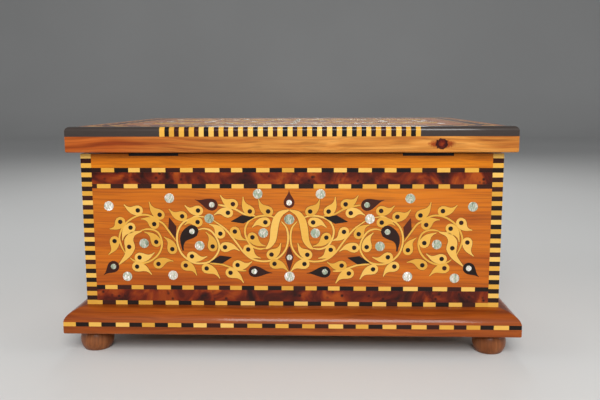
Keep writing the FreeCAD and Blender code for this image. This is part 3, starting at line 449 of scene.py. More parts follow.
FIGURE = 0.9  # mm
burl = thuya_burl()
lemonwood = inlay_wood("lemonwood", ("#BE882E", "#CE9A3C", "#DAB05C"))
ebony = inlay_wood("ebony", ("#0C0402", "#1A0A04", "#3A1206"))
# the ebonised edging is dark grey-brown, and its colours are lifted as painted sheen, the grey
# haze its polish reflects
black_edging = inlay_wood("ebonised_edging", ("#28201C", "#362E2A", "#443C36"), 0.4, 1.0)
brown_inlay = inlay_wood("walnut_inlay", ("#2A0C04", "#401404", "#5C2008"))
glue = inlay_wood("glue_line", ("#3E1A06", "#5A280A"))
print("inlay woods ready")

# %% [markdown]
# ## Mother-of-pearl
# Nacre is thin layers of shell that split light into faint greens and pinks, and each disc
# is cut from another part of the shell. A thin-film setting could do it, but few viewers
# keep that, so the colours are drawn: warped noise picks from silver, green, rose and grey,
# and the disc's own tone shifts the choice.

# %% Mother-of-pearl
def mother_of_pearl():
    """Polished nacre: noise of 2 mm swirls, shifted by the disc's tone, read through a ramp
    of silver, green, rose and grey, with a satin metal-like glint."""
    material, tree, shader, place = new_material("mother_of_pearl")
    tone = add(tree, "Attribute", attribute_name="tone").outputs["Fac"]
    swirl = noise(tree, place, (900, 500, 260), 3.0, turned=(0.3, 0.6, 0.2), Distortion=1.2)
    value = maths(tree, "ADD", maths(tree, "MULTIPLY_ADD", swirl, 2.6, -1.3), tone)
    colour = ramp(tree, value, [
        (0.0, "#6A6E58"), (0.2, "#98A488"), (0.36, "#7E9280"), (0.5, "#B0AA94"),
        (0.64, "#D8D4C8"), (0.76, "#A89680"), (0.9, "#E8E6E0"), (1.0, "#F6F6F4")])
    cover(tree, shader, colour, swirl, 0.15, 0.2)
    dress(shader, metallic=0.2, roughness=0.28, coat_weight=0.5, coat_roughness=0.06)
    return material


pearl = mother_of_pearl()
print("mother-of-pearl ready")

# %% [markdown]
# ## Cloth, metals and plastics of the inside
# The lining is cotton velvet glued on card: a deep red pile that looks lighter at its
# edges, which is what the shader's sheen does. The movement is drawn brass, ground steel,
# die-cast zinc and moulded nylon under clear acrylic. Brushed metals get fine noise
# stretched along the brushing, cast ones get an even grain.

# %% Velvet and felt
def pile_cloth(name, dark, light, sheen, sheen_tint, pile):
    """Cloth with a pile: cloudy colour where the pile leans, a fine bump of pile mm, and
    sheen for the light it catches on edge."""
    material, tree, shader, place = new_material(name)
    lean = noise(tree, place, 55.0, 3.0)
    hairs = noise(tree, place, 1000 / pile, 1.0)
    cover(tree, shader, ramp(tree, lean, [(0.36, dark), (0.66, light)]), hairs, 0.5, 0.3)
    dress(shader, roughness=0.95, sheen_weight=sheen, sheen_roughness=0.35,
          sheen_tint=sheen_tint)
    return material


velvet = pile_cloth("cotton_velvet", "#480814", "#5E0C1E", 0.9, "#D8607A", 0.8)
felt = pile_cloth("wool_felt", "#14100F", "#241E1C", 0.3, "#6A6460", 1.2)


# %% Metals and plastics
def worked_metal(name, dark, light, rough, brushed=(1, 1, 1), grain=0.5, relief_height=0.05,
                 metallic=1.0, **more):
    """A metal or plastic surface: noise, grain mm wide and stretched by brushed, moves its
    colour between two shades and its roughness by a fifth."""
    material, tree, shader, place = new_material(name)
    marks = noise(tree, place, [1000 / grain / stretch for stretch in brushed], 2.0)
    cover(tree, shader, ramp(tree, marks, [(0.3, dark), (0.7, light)]), marks, 0.3,
          relief_height, mapped(tree, marks, to_min=rough * 0.8, to_max=rough * 1.2))
    dress(shader, metallic=metallic, **more)
    return material


brass = worked_metal("drawn_brass", "#B8903E", "#D8B45C", 0.24, (12, 1, 1))
steel = worked_metal("ground_steel", "#8C9096", "#B4B8BC", 0.28, (1, 10, 1))
zinc = worked_metal("die_cast_zinc", "#7C8084", "#9A9EA0", 0.45, grain=1.2, relief_height=0.15)
nylon = worked_metal("moulded_nylon", "#DAD6C8", "#ECE9DE", 0.42, grain=2.0, metallic=0.0,
                     subsurface_weight=0.1, subsurface_scale=0.002)
acrylic = worked_metal("clear_acrylic", "#F2F8F8", "#FFFFFF", 0.04, grain=60.0,
                       relief_height=0.0005, metallic=0.0, transmission_weight=1.0, ior=1.49,
                       alpha=0.25)
print("inside materials ready")

# %% [markdown]
# ## Finishes for the CAD parts that stay
# Walls, boards, the metal parts and the movement already have the right shape in the
# model, so they keep their CAD mesh and only get these materials.

# %% Give CAD nodes their materials
kept_nodes = {
    thuya_x: ["front_wall", "back_wall", "lid_top_panel"],
    thuya_y: ["left_wall", "right_wall"], lid_x: ["lid_board"],
    burl: ["burl_bands"], plain_x: ["bottom_board", "partition", "cover_cleats", "foot_dowels"],
    acrylic: ["movement_cover"],
    brass: ["case_hinge_leaves", "lid_hinge_leaves", "hinge_pins", "case_hinge_screws",
            "lid_hinge_screws", "pinned_cylinder", "cylinder_wheel", "governor_frame",
            "winding_key", "cover_screws"],
    steel: ["comb", "comb_screws", "governor_screws", "mounting_screws", "mainspring",
            "spring_housing", "winding_arbor", "cylinder_arbor", "train_arbor",
            "governor_worm", "stop_rod", "stop_lever"],
    zinc: ["movement_bedplate", "crown_wheel"], nylon: ["worm_wheel", "governor_fly"]}
for material, names in kept_nodes.items():
    for name in names:
        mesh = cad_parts[name].data
        mesh.materials.clear()
        mesh.materials.append(material)
print("dressed", sum(len(names) for names in kept_nodes.values()), "CAD nodes")

# %% [markdown]
# ## Plinth mouldings
# The plinth is four lengths of moulding, mitred at the corners. Its profile is carried
# along each side, and each point of the profile stops short of the corner by as much as it
# stands in from the face: that is the mitre. A fine curve in the profile keeps the
# highlight on its shoulder smooth.

# %% Mouldings mitred at the corners
def arc(centre, radius, start, end, count):
    """Points on a circle: the centre plus the radius times the cosine and sine of angles
    in even steps from start to end (degrees)."""
    angle = np.radians(np.linspace(start, end, count))
    return np.stack([centre[0] + radius * np.cos(angle), centre[1] + radius * np.sin(angle)],
                    axis=1)


def mitred_side(profile, face, half, inner=None):
    """A moulding's rows: profile is (in from the face, up) points. Each point ends at half
    minus its distance in, at both ends, or at the given inner places."""
    inward, up = np.asarray(profile, float).T
    ends = [inward - half, half - inward] if inner is None else [
        np.full(len(inward), place) if abs(place) < half - 8 else np.sign(place) *
        (half - inward) for place in inner]
    rows = np.stack([np.stack([along, up, -inward], axis=1) for along in ends])
    return skin(lay(rows, face))


plinth_low, plinth_high = span("plinth_front")
plinth_half = np.array([plinth_high[0], -plinth_low[1]])
plinth_faces = side_frames(*plinth_half)
string_low, string_high = span("plinth_strings")
plinth_out = plinth_half[0] - case_half[0]
plinth_width = plinth_half[0] - span("bottom_board")[1][0]
string_depth = 0.8
shoulder = np.array([[0, string_high[2]], [0.9, string_high[2] + 2.4],
                     [2.8, string_high[2] + 4.7], [5.6, string_high[2] + 6.5],
                     [9.2, string_high[2] + 7.9], [plinth_out, floor_level]])
plinth_profile = np.concatenate([
    arc((1.2, plinth_low[2] + 1.2), 1.2, 270, 180, 5),
    [[0, string_low[2]], [string_depth, string_low[2]], [string_depth, string_high[2]]]])


# %% Smooth paths and the four mouldings
def smooth_path(points, steps):
    """A curve through points (Catmull-Rom): between two of them a cubic, whose slope at
    each is half the way from the point before it to the point after it."""
    points = np.asarray(points, float)
    padded = np.vstack([2 * points[0] - points[1], points, 2 * points[-1] - points[-2]])
    part = np.linspace(0, 1, steps, endpoint=False)[:, None, None]
    a, b, c, d = padded[:-3], padded[1:-2], padded[2:-1], padded[3:]
    curve = b + 0.5 * ((c - a) * part + (2 * a - 5 * b + 4 * c - d) * part ** 2
                       + (3 * b - a - 3 * c + d) * part ** 3)
    return np.vstack([curve.transpose(1, 0, 2).reshape(-1, points.shape[1]), points[-1:]])


plinth_profile = np.concatenate([plinth_profile, smooth_path(shoulder, 5),
                                 [[plinth_width, floor_level],
                                  [plinth_width, plinth_low[2]]]])
grain_of = {"front": plinth_x, "back": plinth_x, "left": plinth_y, "right": plinth_y}
for side, face in plinth_faces.items():
    half = plinth_half[0] if side in ("front", "back") else plinth_half[1]
    piece("moulding_" + side, mitred_side(plinth_profile, face, half), [grain_of[side]],
          "case", ["plinth_" + side])
print("four mouldings,", len(plinth_profile), "points in the profile")

# %% [markdown]
# ## Ball feet
# A turned foot is a profile spun about its axis: the lathe's own way of making it. Each
# point of the profile becomes a ring. The ball is flat where it stands, and a shallow
# groove marks where it meets the plinth.

# %% Turned feet
def turning(profile, centre, segments=48):
    """A turned shape: every (radius, height) point of the profile goes round the upright
    axis through centre in even steps."""
    radius, height = np.asarray(profile, float).T
    angle = np.linspace(0, 2 * np.pi, segments, endpoint=False)
    rings = np.stack([centre[0] + radius[:, None] * np.cos(angle),
                      centre[1] + radius[:, None] * np.sin(angle),
                      np.repeat(height[:, None], segments, axis=1)], axis=-1)
    return skin(rings)


BALL_LEVEL = 7.2  # mm, middle of the ball above the table
SOLE, EDGE, NECK = 6.0, 8.4, 7.6  # mm, radii where it stands, just above, and at its top
for name in ("bun_foot_front_left", "bun_foot_front_right", "bun_foot_back_left",
             "bun_foot_back_right"):
    low, high = span(name)
    middle, ball = (low + high) / 2, (high[0] - low[0]) / 2
    foot = np.concatenate([[[SOLE, low[2]], [EDGE, low[2] + 0.1]],
                           arc((0, low[2] + BALL_LEVEL), ball, -37, 42, 26),
                           [[NECK, high[2] - 0.1], [NECK, high[2]]]])
    piece(name.replace("bun_foot", "ball_foot"), turning(foot, middle), [foot_wood_in_painted_shade], "case",
          [name])
print("four feet,", round(2 * ball, 1), "mm across")

# %% [markdown]
# ## Strings of blocks
# A string is a strip of lemonwood and dark blocks, sawn by hand, so no two blocks are quite
# the same length or tone. Lengths are drawn about a mean and stretched together until they
# fill the row. Each block is a box let into its groove, a hair proud of the wood, with a
# hair between it and the next, which is where the glue shows dark.

# %% Rows of blocks
BLOCK = 8.8      # mm, mean length of a string block
GLUE_GAP = 0.12  # mm between two blocks
PROUD = 0.04     # mm that a block stands out of the wood
TONE_SPREAD = 0.42


def block_ends(low, high, mean, uneven):
    """Where each block of a row starts and stops: lengths drawn within a share of the
    mean, then scaled together so that they add up to the row."""
    count = max(int(round((high - low) / mean)), 1)
    lengths = 1 + uneven * draws.uniform(-1, 1, count)
    joints = low + (high - low) * np.concatenate([[0], np.cumsum(lengths)]) / lengths.sum()
    return joints[:-1] + GLUE_GAP / 2, joints[1:] - GLUE_GAP / 2


def blocks(starts, stops, outline, face, upright=False):
    """A row of blocks: the same (across, out) outline at the start and at the stop of each,
    lying along the face, or standing up it when upright."""
    rows = np.empty((len(starts), 2, len(outline), 3))
    lengthwise, across = (1, 0) if upright else (0, 1)
    rows[..., lengthwise] = np.stack([starts, stops], axis=1)[..., None]
    rows[..., across], rows[..., 2] = np.asarray(outline, float).T
    return skin(lay(rows, face))


def let_in(low, high, depth):
    """Outline of a block let into its groove, from depth inside the face to PROUD of it."""
    return [(low, -depth), (low, PROUD), (high, PROUD), (high, -depth)]


def inlaid_row(name, shapes, counts, firsts, body, stands_for=()):
    """One object from several rows of blocks. Blocks are lemonwood and ebony in turn, from
    first, and each draws its own tone. Faces of a skin come as four sides of every block
    and then two caps of every block, and the materials follow that order."""
    finish, tone = [], []
    for (points, faces), count, first in zip(shapes, counts, firsts):
        kind = (np.arange(count) + first) % 2
        shade = 0.5 + TONE_SPREAD * draws.uniform(-1, 1, count)
        sides = (len(faces) - 2 * count) // count
        finish += [np.repeat(kind, sides), np.repeat(kind, 2)]
        tone.append(np.repeat(shade, len(points) // count))
    piece(name, joined(shapes), [lemonwood, ebony], body, stands_for,
          smooth=False, finish=np.concatenate(finish), tone=np.concatenate(tone))


STRING = string_high[2] - string_low[2]
BURL = 8.0  # mm, width of the burl between two strings
FIRST_CUT = (5.0, 4.0, 5.4, 2.3)  # mm, cut from each string's first block, lowest first
FIRST_WOOD = (0, 1, 1, 1)         # its wood: 0 is lemonwood and 1 ebony
upper_band = span("string_bands")[1][2] - 2 * STRING - BURL
levels = [level for band in (floor_level, upper_band) for level in (band, band + STRING + BURL)]
shapes, counts, firsts = [], [], []
for side, face in case_faces.items():
    reach = half_length[side] - post_width
    for number, level in enumerate(levels):
        starts, stops = block_ends(-reach - FIRST_CUT[number], reach, BLOCK, 0.14)
        starts = np.maximum(starts, -reach)
        shapes.append(blocks(starts, stops, let_in(level + 0.05, level + STRING - 0.05,
                                                   string_depth), face))
        counts.append(len(starts))
        firsts.append(FIRST_WOOD[number])
inlaid_row("case_strings", shapes, counts, firsts, "case", ["string_bands"])
print("case strings:", sum(counts), "blocks")

# %% Strings in the plinth's edge
shapes, counts, firsts = [], [], []
for side, face in plinth_faces.items():
    reach = plinth_half[0] if side in ("front", "back") else plinth_half[1] - string_depth
    starts, stops = block_ends(-reach + 0.05, reach - 0.05, BLOCK * 1.05, 0.1)
    shapes.append(blocks(starts, stops, let_in(string_low[2] + 0.05, string_high[2] - 0.05,
                                               string_depth - 0.02), face))
    counts.append(len(starts))
    firsts.append(0)
inlaid_row("plinth_edge_strings", shapes, counts, firsts, "case", ["plinth_strings"])
print("plinth strings:", sum(counts), "blocks")

# %% [markdown]
# ## Striped corner posts
# Each corner is a square post of lemonwood and ebony slices glued in a stack. The stack is
# the same row of boxes, set upright.

# %% Corner posts
STRIPES = 33
shapes, counts = [], []
post_edges = np.linspace(floor_level, rim_level, STRIPES + 1)
for end in (-1, 1):
    for name in ("front", "back"):
        far, near = end * case_half[0], end * (case_half[0] - post_width)
        low, high = min(far, near), max(far, near)
        if name == "back":
            low, high = -high, -low
        low, high = (low - PROUD, high) if low < 0 else (low, high + PROUD)
        shapes.append(blocks(post_edges[:-1] + 0.03, post_edges[1:] - 0.03,
                             let_in(low, high, post_width), case_faces[name], upright=True))
        counts.append(STRIPES)
inlaid_row("striped_posts", shapes, counts, [0] * 4, "case", ["corner_posts"])
print("posts:", sum(counts), "slices of", round((rim_level - floor_level) / STRIPES, 2), "mm")

# %% [markdown]
# ## Ribbons, leaves and discs
# The scrolls are cut from veneer: stems of even width, paisley leaves with a black eye, and
# discs of shell. A stem is a ribbon: a path and a half width at each of its points. A leaf
# is a ribbon too, whose half width swells to a round head and fades to a thin tip, on a
# path that bows to one side. Curves with a bevel would do for the stems, but not for the
# leaves.

# %% Ribbons and leaves
def ribbon(path, half_width, height, depth=0.25):
    """A flat strip along a path: every point is moved by its half width to the left and to
    the right of the path's direction, at the given height and at a depth below the face."""
    way = np.gradient(path, axis=-2)
    way = way / np.linalg.norm(way, axis=-1, keepdims=True)
    left = np.stack([-way[..., 1], way[..., 0]], axis=-1) * half_width[..., None]
    corners = [(path + left, -depth), (path + left, height), (path - left, height),
               (path - left, -depth)]
    return np.stack([np.concatenate([edge, np.full(edge.shape[:-1] + (1,), level)], axis=-1)
                     for edge, level in corners], axis=-2)


def leaf_shapes(leaves, head, tip, bow, height, grow=0.0):
    """Paisley leaves from rows (eye, tip, side): behind the eye the half width follows a
    circle of radius head; ahead of it, tip plus the rest times the square of a cosine that
    falls to nothing at the tip. The path bows sideways by bow times the sine of pi times
    the share of the way."""
    leaves = np.asarray(leaves, float)
    eye, way = leaves[:, 0:2], leaves[:, 2:4] - leaves[:, 0:2]
    length = np.linalg.norm(way, axis=1, keepdims=True)
    way = way / length
    side = np.stack([-way[:, 1], way[:, 0]], axis=1) * leaves[:, 4:5]
    turn = np.radians([4, 22, 42, 64, 90])
    share = np.linspace(0, 1, 10)[1:]
    along = np.concatenate([np.broadcast_to(-head * np.cos(turn), (len(leaves), 5)),
                            length * share], axis=1)
    width = np.concatenate([head * np.sin(turn),
                            tip + (head - tip) * np.cos(np.pi / 2 * share) ** 2]) + grow
    bowed = bow * np.sin(np.pi * np.clip(along / length, 0, 1))
    path = eye[:, None] + way[:, None] * along[..., None] + side[:, None] * bowed[..., None]
    return ribbon(path, np.broadcast_to(width, along.shape), height)


def disc_shapes(centres, radius, height, segments=16, depth=0.25):
    """Flat discs with a softened edge: three rings, the last one a little smaller."""
    angle = np.linspace(0, 2 * np.pi, segments, endpoint=False)
    ring = np.stack([np.cos(angle), np.sin(angle)], axis=1)
    rows = [(radius, -depth), (radius, height - 0.04), (radius - 0.12, height)]
    centres = np.asarray(centres, float)
    return np.stack([np.concatenate([centres[:, None] + ring * size,
                                     np.full((len(centres), segments, 1), level)], axis=-1)
                     for size, level in rows], axis=1)


# %% [markdown]
# ## The scroll pattern
# The pattern is one half and its mirror image, in millimetres from the middle of the panel
# and from the table. Scrolls cut by hand follow no formula, so their places are written
# down to the half millimetre: the eye and tip of every leaf, the centre of every disc and
# a few points on each stem. The curves, widths and mirror image are worked out from these.

# %% Leaves of the left half: eye, tip, and the side to which the leaf bows
LEAVES = [
    (-104.5, 103, -114, 107, 1), (-89.5, 100, -96.5, 109, 1), (-74, 99, -83, 104, 1),
    (-117, 95, -124.5, 90, 1), (-110, 91, -116, 82, -1), (-93.5, 93.5, -102.5, 97, -1),
    (-121.5, 81.5, -126, 72, 1), (-92.5, 81, -100.5, 88, -1), (-81.5, 76, -87, 84.5, -1),
    (-104.5, 70, -94, 73.5, -1), (-106.5, 63.5, -96.5, 58, 1), (-91.5, 65.5, -81, 67.5, 1),
    (-39, 107.5, -47.5, 113.5, 1), (-27.5, 102.5, -32, 112.5, 1), (-15, 102.5, -21.5, 111, 1),
    (-42.5, 101.5, -52, 100, -1), (-63, 103, -72, 106.5, 1), (-63.5, 95, -72.5, 93, -1),
    (-17, 95, -26, 91.5, -1), (-38, 88.5, -30, 82.5, -1), (-48, 87, -55.5, 93.5, -1),
    (-53.5, 78, -58, 88, -1), (-26, 84.5, -17, 78.5, -1), (-45, 77.5, -35, 75, 1),
    (-29, 76, -20.5, 70, -1), (-13, 72.5, -6.5, 80.5, -1), (-68, 71, -57.5, 71, -1),
    (-72.5, 64.5, -65, 57.5, 1), (-58, 62.5, -49, 55.5, 1), (-36.5, 65, -26.5, 67.5, -1),
    (-41.5, 59.5, -32.5, 52.5, 1), (-11, 66, -1.5, 60.5, 1)]
PEARLS = [(-124.5, 106), (-82.5, 111.5), (-101, 80), (-113.5, 56.5), (-81.5, 57.5),
          (-55.5, 97.5), (-22, 114.5), (-62.5, 78.5), (-18.5, 87.5)]
MIDDLE_PEARLS = [(0, 97), (0, 57)]
STEMS = [
    [(-6, 95.5), (-2.5, 91), (-1.5, 84), (-3, 76.5), (-8, 70.5), (-15, 68), (-21.5, 68),
     (-27.5, 70), (-32.5, 74.5), (-36.5, 80), (-41, 86), (-45.5, 91), (-53, 96.5)],
    [(-10, 98), (-15, 99.5), (-22, 99), (-28, 96), (-31, 90), (-30, 83.5), (-26.5, 78.5),
     (-21.5, 76.5), (-16.5, 77)],
    [(-24, 99.5), (-31, 100.5), (-37.5, 104), (-44, 106), (-49, 107)],
    [(-64, 89.5), (-59, 90.5), (-54, 88.5), (-50, 82.5), (-49, 77), (-51, 72), (-55.5, 67.5),
     (-61.5, 66), (-68, 67), (-74.5, 72), (-77.5, 78.5), (-78, 85), (-76.5, 90.5),
     (-73, 95), (-67.5, 97.5), (-64.5, 99), (-58.5, 98.5)],
    [(-55.5, 66), (-48, 65.5), (-42, 63.5), (-36.5, 61.5), (-30.5, 61)]]
OUTER_STEMS = [
    [(-79, 82), (-83.5, 88.5), (-87, 93.5), (-90, 95.5), (-94.5, 98.5), (-99.5, 100),
     (-105.5, 99), (-111.5, 95.5), (-115.5, 91), (-118, 84.5), (-117, 78.5), (-114.5, 73)],
    [(-111, 69.5), (-108, 67.5), (-102, 66), (-95.5, 68.5), (-90.5, 73.5), (-88.5, 80),
     (-90, 86), (-93, 89), (-98, 90), (-103, 89)]]
BLADE = [(-1, 103.5), (-6.5, 101), (-9.5, 96.5), (-11, 90), (-12, 83), (-14.5, 78.5),
         (-17, 76.5)]
BLADE_WIDTH = [0.5, 1.9, 2.5, 2.6, 2.3, 1.5, 0.5]
HOOK = [(-102.5, 88.5), (-108.5, 86.5), (-111.5, 82), (-111, 77), (-113, 71.5), (-119, 65)]
HOOK_WIDTH = [0.4, 1.7, 3.2, 3.6, 2.0, 0.4]
EBONY_DROPS = [(-123, 63.5, -130, 57.5, 0), (-25, 60.5, -12.5, 59.5, 0)]
BROWN_DROPS = [(-53.5, 107, -65, 110.5, 0)]
COMMA = [(-67.5, 88.5, -74, 75, -1)]
EBONY_DIAMONDS = [((-40.5, 95.5), (-24.5, 98.5)), ((-55.5, 67), (-40.5, 70.5))]
BROWN_DIAMONDS = [((-83, 98), (-79, 84))]
SPINDLE = [(0, 61), (0, 66), (0, 70.5), (0, 74.5), (0, 78.5)]
TOP_DROP = [(0, 108.5, 0, 117, 0)]
print("pattern:", 2 * len(LEAVES), "leaves,", 2 * len(PEARLS) + len(MIDDLE_PEARLS), "discs")

# %% [markdown]
# ## Laying the pattern on a face
# The same half pattern goes on the front, the back, the sides and the lid. It is mirrored,
# scaled where a panel is smaller, and laid on the face's own frame. Every wood is one
# object per face, so that a whole face takes seven objects and not a hundred. Under the
# light inlay lies a slightly wider dark shape: the line of glue round each piece.

# %% Lay one panel
LEAF_HEAD, LEAF_TIP, LEAF_BOW = 3.5, 0.36, 1.5
STEM_HALF_WIDTH = 0.66
EYE_RADIUS, PEARL_RADIUS, SMALL_PEARL = 1.6, 3.3, 1.9


def strip(points, widths, height, grow=0.0, steps=4):
    """One ribbon through points, with widths spread evenly along it."""
    path = smooth_path(points, steps)
    spread = np.interp(np.linspace(0, 1, len(path)), np.linspace(0, 1, len(widths)), widths)
    return ribbon(path, spread + grow, height)[None]


def stem_strips(stems, height, grow=0.0):
    """Stems of even width that thin out over their last tenth."""
    thin = [STEM_HALF_WIDTH * part for part in (0.5, 1, 1, 1, 1, 1, 1, 1, 1, 1, 0.5)]
    return [strip(stem, thin, height, grow) for stem in stems]


def half_pattern(whole):
    """Shapes of the left half by finish. A short panel leaves out what lies beyond its
    reach."""
    edge = 200 if whole else 80
    leaves = [leaf for leaf in LEAVES if min(leaf[0], leaf[2]) > -edge]
    pearls = [place for place in PEARLS if place[0] > -edge]
    pearls += [] if whole else [(-92, 107), (-92, 57), (-92, 82)]
    stems = STEMS + (OUTER_STEMS if whole else [])
    drops = [drop for drop in EBONY_DROPS if drop[0] > -edge]
    hooks = [(HOOK, HOOK_WIDTH)] if whole else []
    small = [drop[:2] for drop in drops + BROWN_DROPS + COMMA]
    eyes = [leaf[:2] for leaf in leaves] + ([(-111.5, 77.5)] if whole else [])
    diamonds = {"ebony": EBONY_DIAMONDS, "brown": BROWN_DIAMONDS if whole else []}
    cut = {kind: [ribbon(np.linspace(*ends, 3), np.array([0.15, 3.0, 0.15]), 0.06)[None]
                  for ends in pairs] for kind, pairs in diamonds.items()}
    solid = [strip(BLADE, BLADE_WIDTH, 0.08)] + [strip(path, width, 0.08)
                                                 for path, width in hooks]
    return {
        "glue": [leaf_shapes(leaves, LEAF_HEAD, LEAF_TIP, LEAF_BOW, 0.02, 0.27),
                 strip(BLADE, BLADE_WIDTH, 0.02, 0.27)] + stem_strips(stems, 0.02, 0.22)
        + [strip(path, width, 0.02, 0.27) for path, width in hooks],
        "stems": stem_strips(stems, 0.05),
        "leaves": [leaf_shapes(leaves, LEAF_HEAD, LEAF_TIP, LEAF_BOW, 0.08)] + solid,
        "ebony": [leaf_shapes(drops, 4.0, 0.2, 0, 0.06), leaf_shapes(COMMA, 4.5, 0.5, 3.2, 0.09)]
        + cut["ebony"],
        "brown": [leaf_shapes(BROWN_DROPS, 4.1, 0.2, 0, 0.06)] + cut["brown"],
        "pearls": [disc_shapes(pearls, PEARL_RADIUS, 0.1), disc_shapes(small, SMALL_PEARL, 0.13)],
        "eyes": [disc_shapes(eyes, EYE_RADIUS, 0.12, 12)]}


MIDDLE_SHAPES = {
    "brown": [leaf_shapes(TOP_DROP, 3.7, 0.2, 0, 0.06),
              strip(SPINDLE, [0.15, 1.7, 2.9, 1.7, 0.15], 0.06)],
    "pearls": [disc_shapes(MIDDLE_PEARLS, PEARL_RADIUS + 0.2, 0.1),
               disc_shapes([(0, 108.5), (0, 70.5)], SMALL_PEARL, 0.13)]}
INLAY_WOODS = {"glue": glue, "stems": lemonwood, "leaves": lemonwood, "ebony": ebony,
               "brown": brown_inlay, "pearls": pearl, "eyes": ebony}


LAYOUT_FOOT = 36.3    # mm, height in the layout of the line that lies on the case's foot
LAYOUT_MIDDLE = 84.0  # mm, height in the layout of the pattern's own middle
HALF_SHIFT = 0.7      # mm, the layout's own middle line left of nought
PANEL_SPREAD = 0.3    # how far the tone of a panel's pieces strays from the middle


def lay_panel(name, face, body, places, middle=LAYOUT_FOOT, whole=True, lean=0.0, extra=()):
    """Lay the mirrored pattern on a face, once for each (scale, shift up the face). A
    negative scale turns the pattern upside down, middle is the height that is measured as
    nought, lean moves the whole pattern along the face, and extra adds more shapes."""
    total = 0
    for finish, shapes in half_pattern(whole).items():
        half = [rows + (HALF_SHIFT, 0, 0) for rows in shapes]
        parts = half + [rows * (-1, 1, 1) for rows in half] + MIDDLE_SHAPES.get(finish, [])
        placed = [rows * (abs(scale), scale, 1) + (lean, shift - middle * scale, 0)
                  for scale, shift in places for rows in parts]
        placed += dict(extra).get(finish, [])
        skins = [skin(lay(rows, face)) for rows in placed]
        tones = [np.repeat(0.5 + PANEL_SPREAD * draws.uniform(-1, 1, len(rows)),
                           rows.shape[1] * rows.shape[2]) for rows in placed]
        piece(name + "_" + finish, joined(skins), [INLAY_WOODS[finish]], body,
              smooth=False, tone=np.concatenate(tones))
        total += sum(len(faces) for _, faces in skins)
    return total


for side, face in case_faces.items():
    print(side, "panel:", lay_panel(side, face, "case", ((1.0, floor_level),),
                                    whole=side in ("front", "back"), lean=-HALF_SHIFT),
          "faces")

# %% [markdown]
# ## The lid's edging and its chequered strips
# Black edging with a rounded upper edge runs round the lid's top, mitred at the corners.
# In the middle of each side it is cut back, and a row of thin upright blocks in lemonwood
# and ebony follows the same rounded profile.

# %% Lid edging
edging_low, edging_high = span("lid_edging_front")
lid_half = np.array([edging_high[0], -edging_low[1]])
lid_faces = side_frames(*lid_half)
edging_level, lid_top = edging_low[2], edging_high[2]
edging_width = edging_high[1] - edging_low[1]
EDGE_ROUND, CHECK_DEPTH = 3.0, 2.0  # mm
round_centre = (EDGE_ROUND, lid_top - EDGE_ROUND)
turn_at_depth = 180 - math.degrees(math.acos((EDGE_ROUND - CHECK_DEPTH) / EDGE_ROUND))
back_of_edging = [[edging_width, lid_top], [edging_width, edging_level]]
full_edge = np.concatenate([[[0, edging_level]], arc(round_centre, EDGE_ROUND, 180, 90, 9),
                            back_of_edging])
cut_edge = np.concatenate([[[CHECK_DEPTH, edging_level]],
                           arc(round_centre, EDGE_ROUND, turn_at_depth, 90, 4),
                           back_of_edging])
check_edge = np.concatenate([[[0, edging_level]],
                             arc(round_centre, EDGE_ROUND, 180, turn_at_depth, 7),
                             [[CHECK_DEPTH, edging_level]]])
check_half = {"front": 86.2, "back": 86.2, "left": 60.0, "right": 60.0}  # mm, half lengths
for side, face in lid_faces.items():
    half = lid_half[0] if side in ("front", "back") else lid_half[1]
    reach = check_half[side]
    shape = joined([mitred_side(full_edge, face, half, (-half, -reach)),
                    mitred_side(cut_edge, face, half, (-reach, reach)),
                    mitred_side(full_edge, face, half, (reach, half))])
    piece("edging_" + side, shape, [black_edging], "lid", ["lid_edging_" + side],
          tone=np.full(len(shape[0]), 0.5))
print("edging", edging_width, "mm wide, cut back", CHECK_DEPTH, "mm")

# %% Chequered strips
LIGHT_CHECK, DARK_CHECK = 3.4, 3.1  # mm
shapes, counts = [], []
for side, face in lid_faces.items():
    reach = check_half[side]
    pairs = int(round((2 * reach - LIGHT_CHECK) / (LIGHT_CHECK + DARK_CHECK)))
    lengths = np.array([LIGHT_CHECK] + [DARK_CHECK, LIGHT_CHECK] * pairs)
    lengths = lengths * (1 + 0.05 * draws.uniform(-1, 1, len(lengths)))
    ends = 2 * reach * np.concatenate([[0], np.cumsum(lengths)]) / lengths.sum() - reach
    outline = np.stack([check_edge[:, 1], 0.03 - check_edge[:, 0]], axis=1)
    shapes.append(blocks(ends[:-1] + 0.04, ends[1:] - 0.04, outline, face))
    counts.append(len(lengths))
inlaid_row("lid_checkers", shapes, counts, [0] * 4, "lid", ["lid_checker_strips"])
print("lid checkers:", sum(counts), "blocks")

# %% [markdown]
# ## The top of the lid
# The lid's top repeats the front: a border of two strings with burl between them, and the
# scrolls twice, back to back. The border is thin veneer laid on the panel, so its pieces
# are flat boxes a few hundredths of a millimetre high.

# %% Border and scrolls on the lid
panel_low, panel_high = span("lid_top_panel")
top_face = ((0, 0, panel_high[2]), (1, 0, 0), (0, 1, 0), (0, 0, 1))
panel_half = panel_high[:2]
BORDER = 5.0  # mm, from the panel's edge to its border
VENEER = 0.3  # mm
burl_rings = []


def top_strip_face(side):
    """A side of the lid's top as a face: along the edge, inwards from it, and up."""
    way = {"front": (1, 0), "right": (0, 1), "back": (-1, 0), "left": (0, -1)}[side]
    edge = panel_half[1] if side in ("front", "back") else panel_half[0]
    origin = np.array([way[1] * edge, -way[0] * edge, panel_high[2]])
    return origin, (way[0], way[1], 0), (-way[1], way[0], 0), (0, 0, 1)


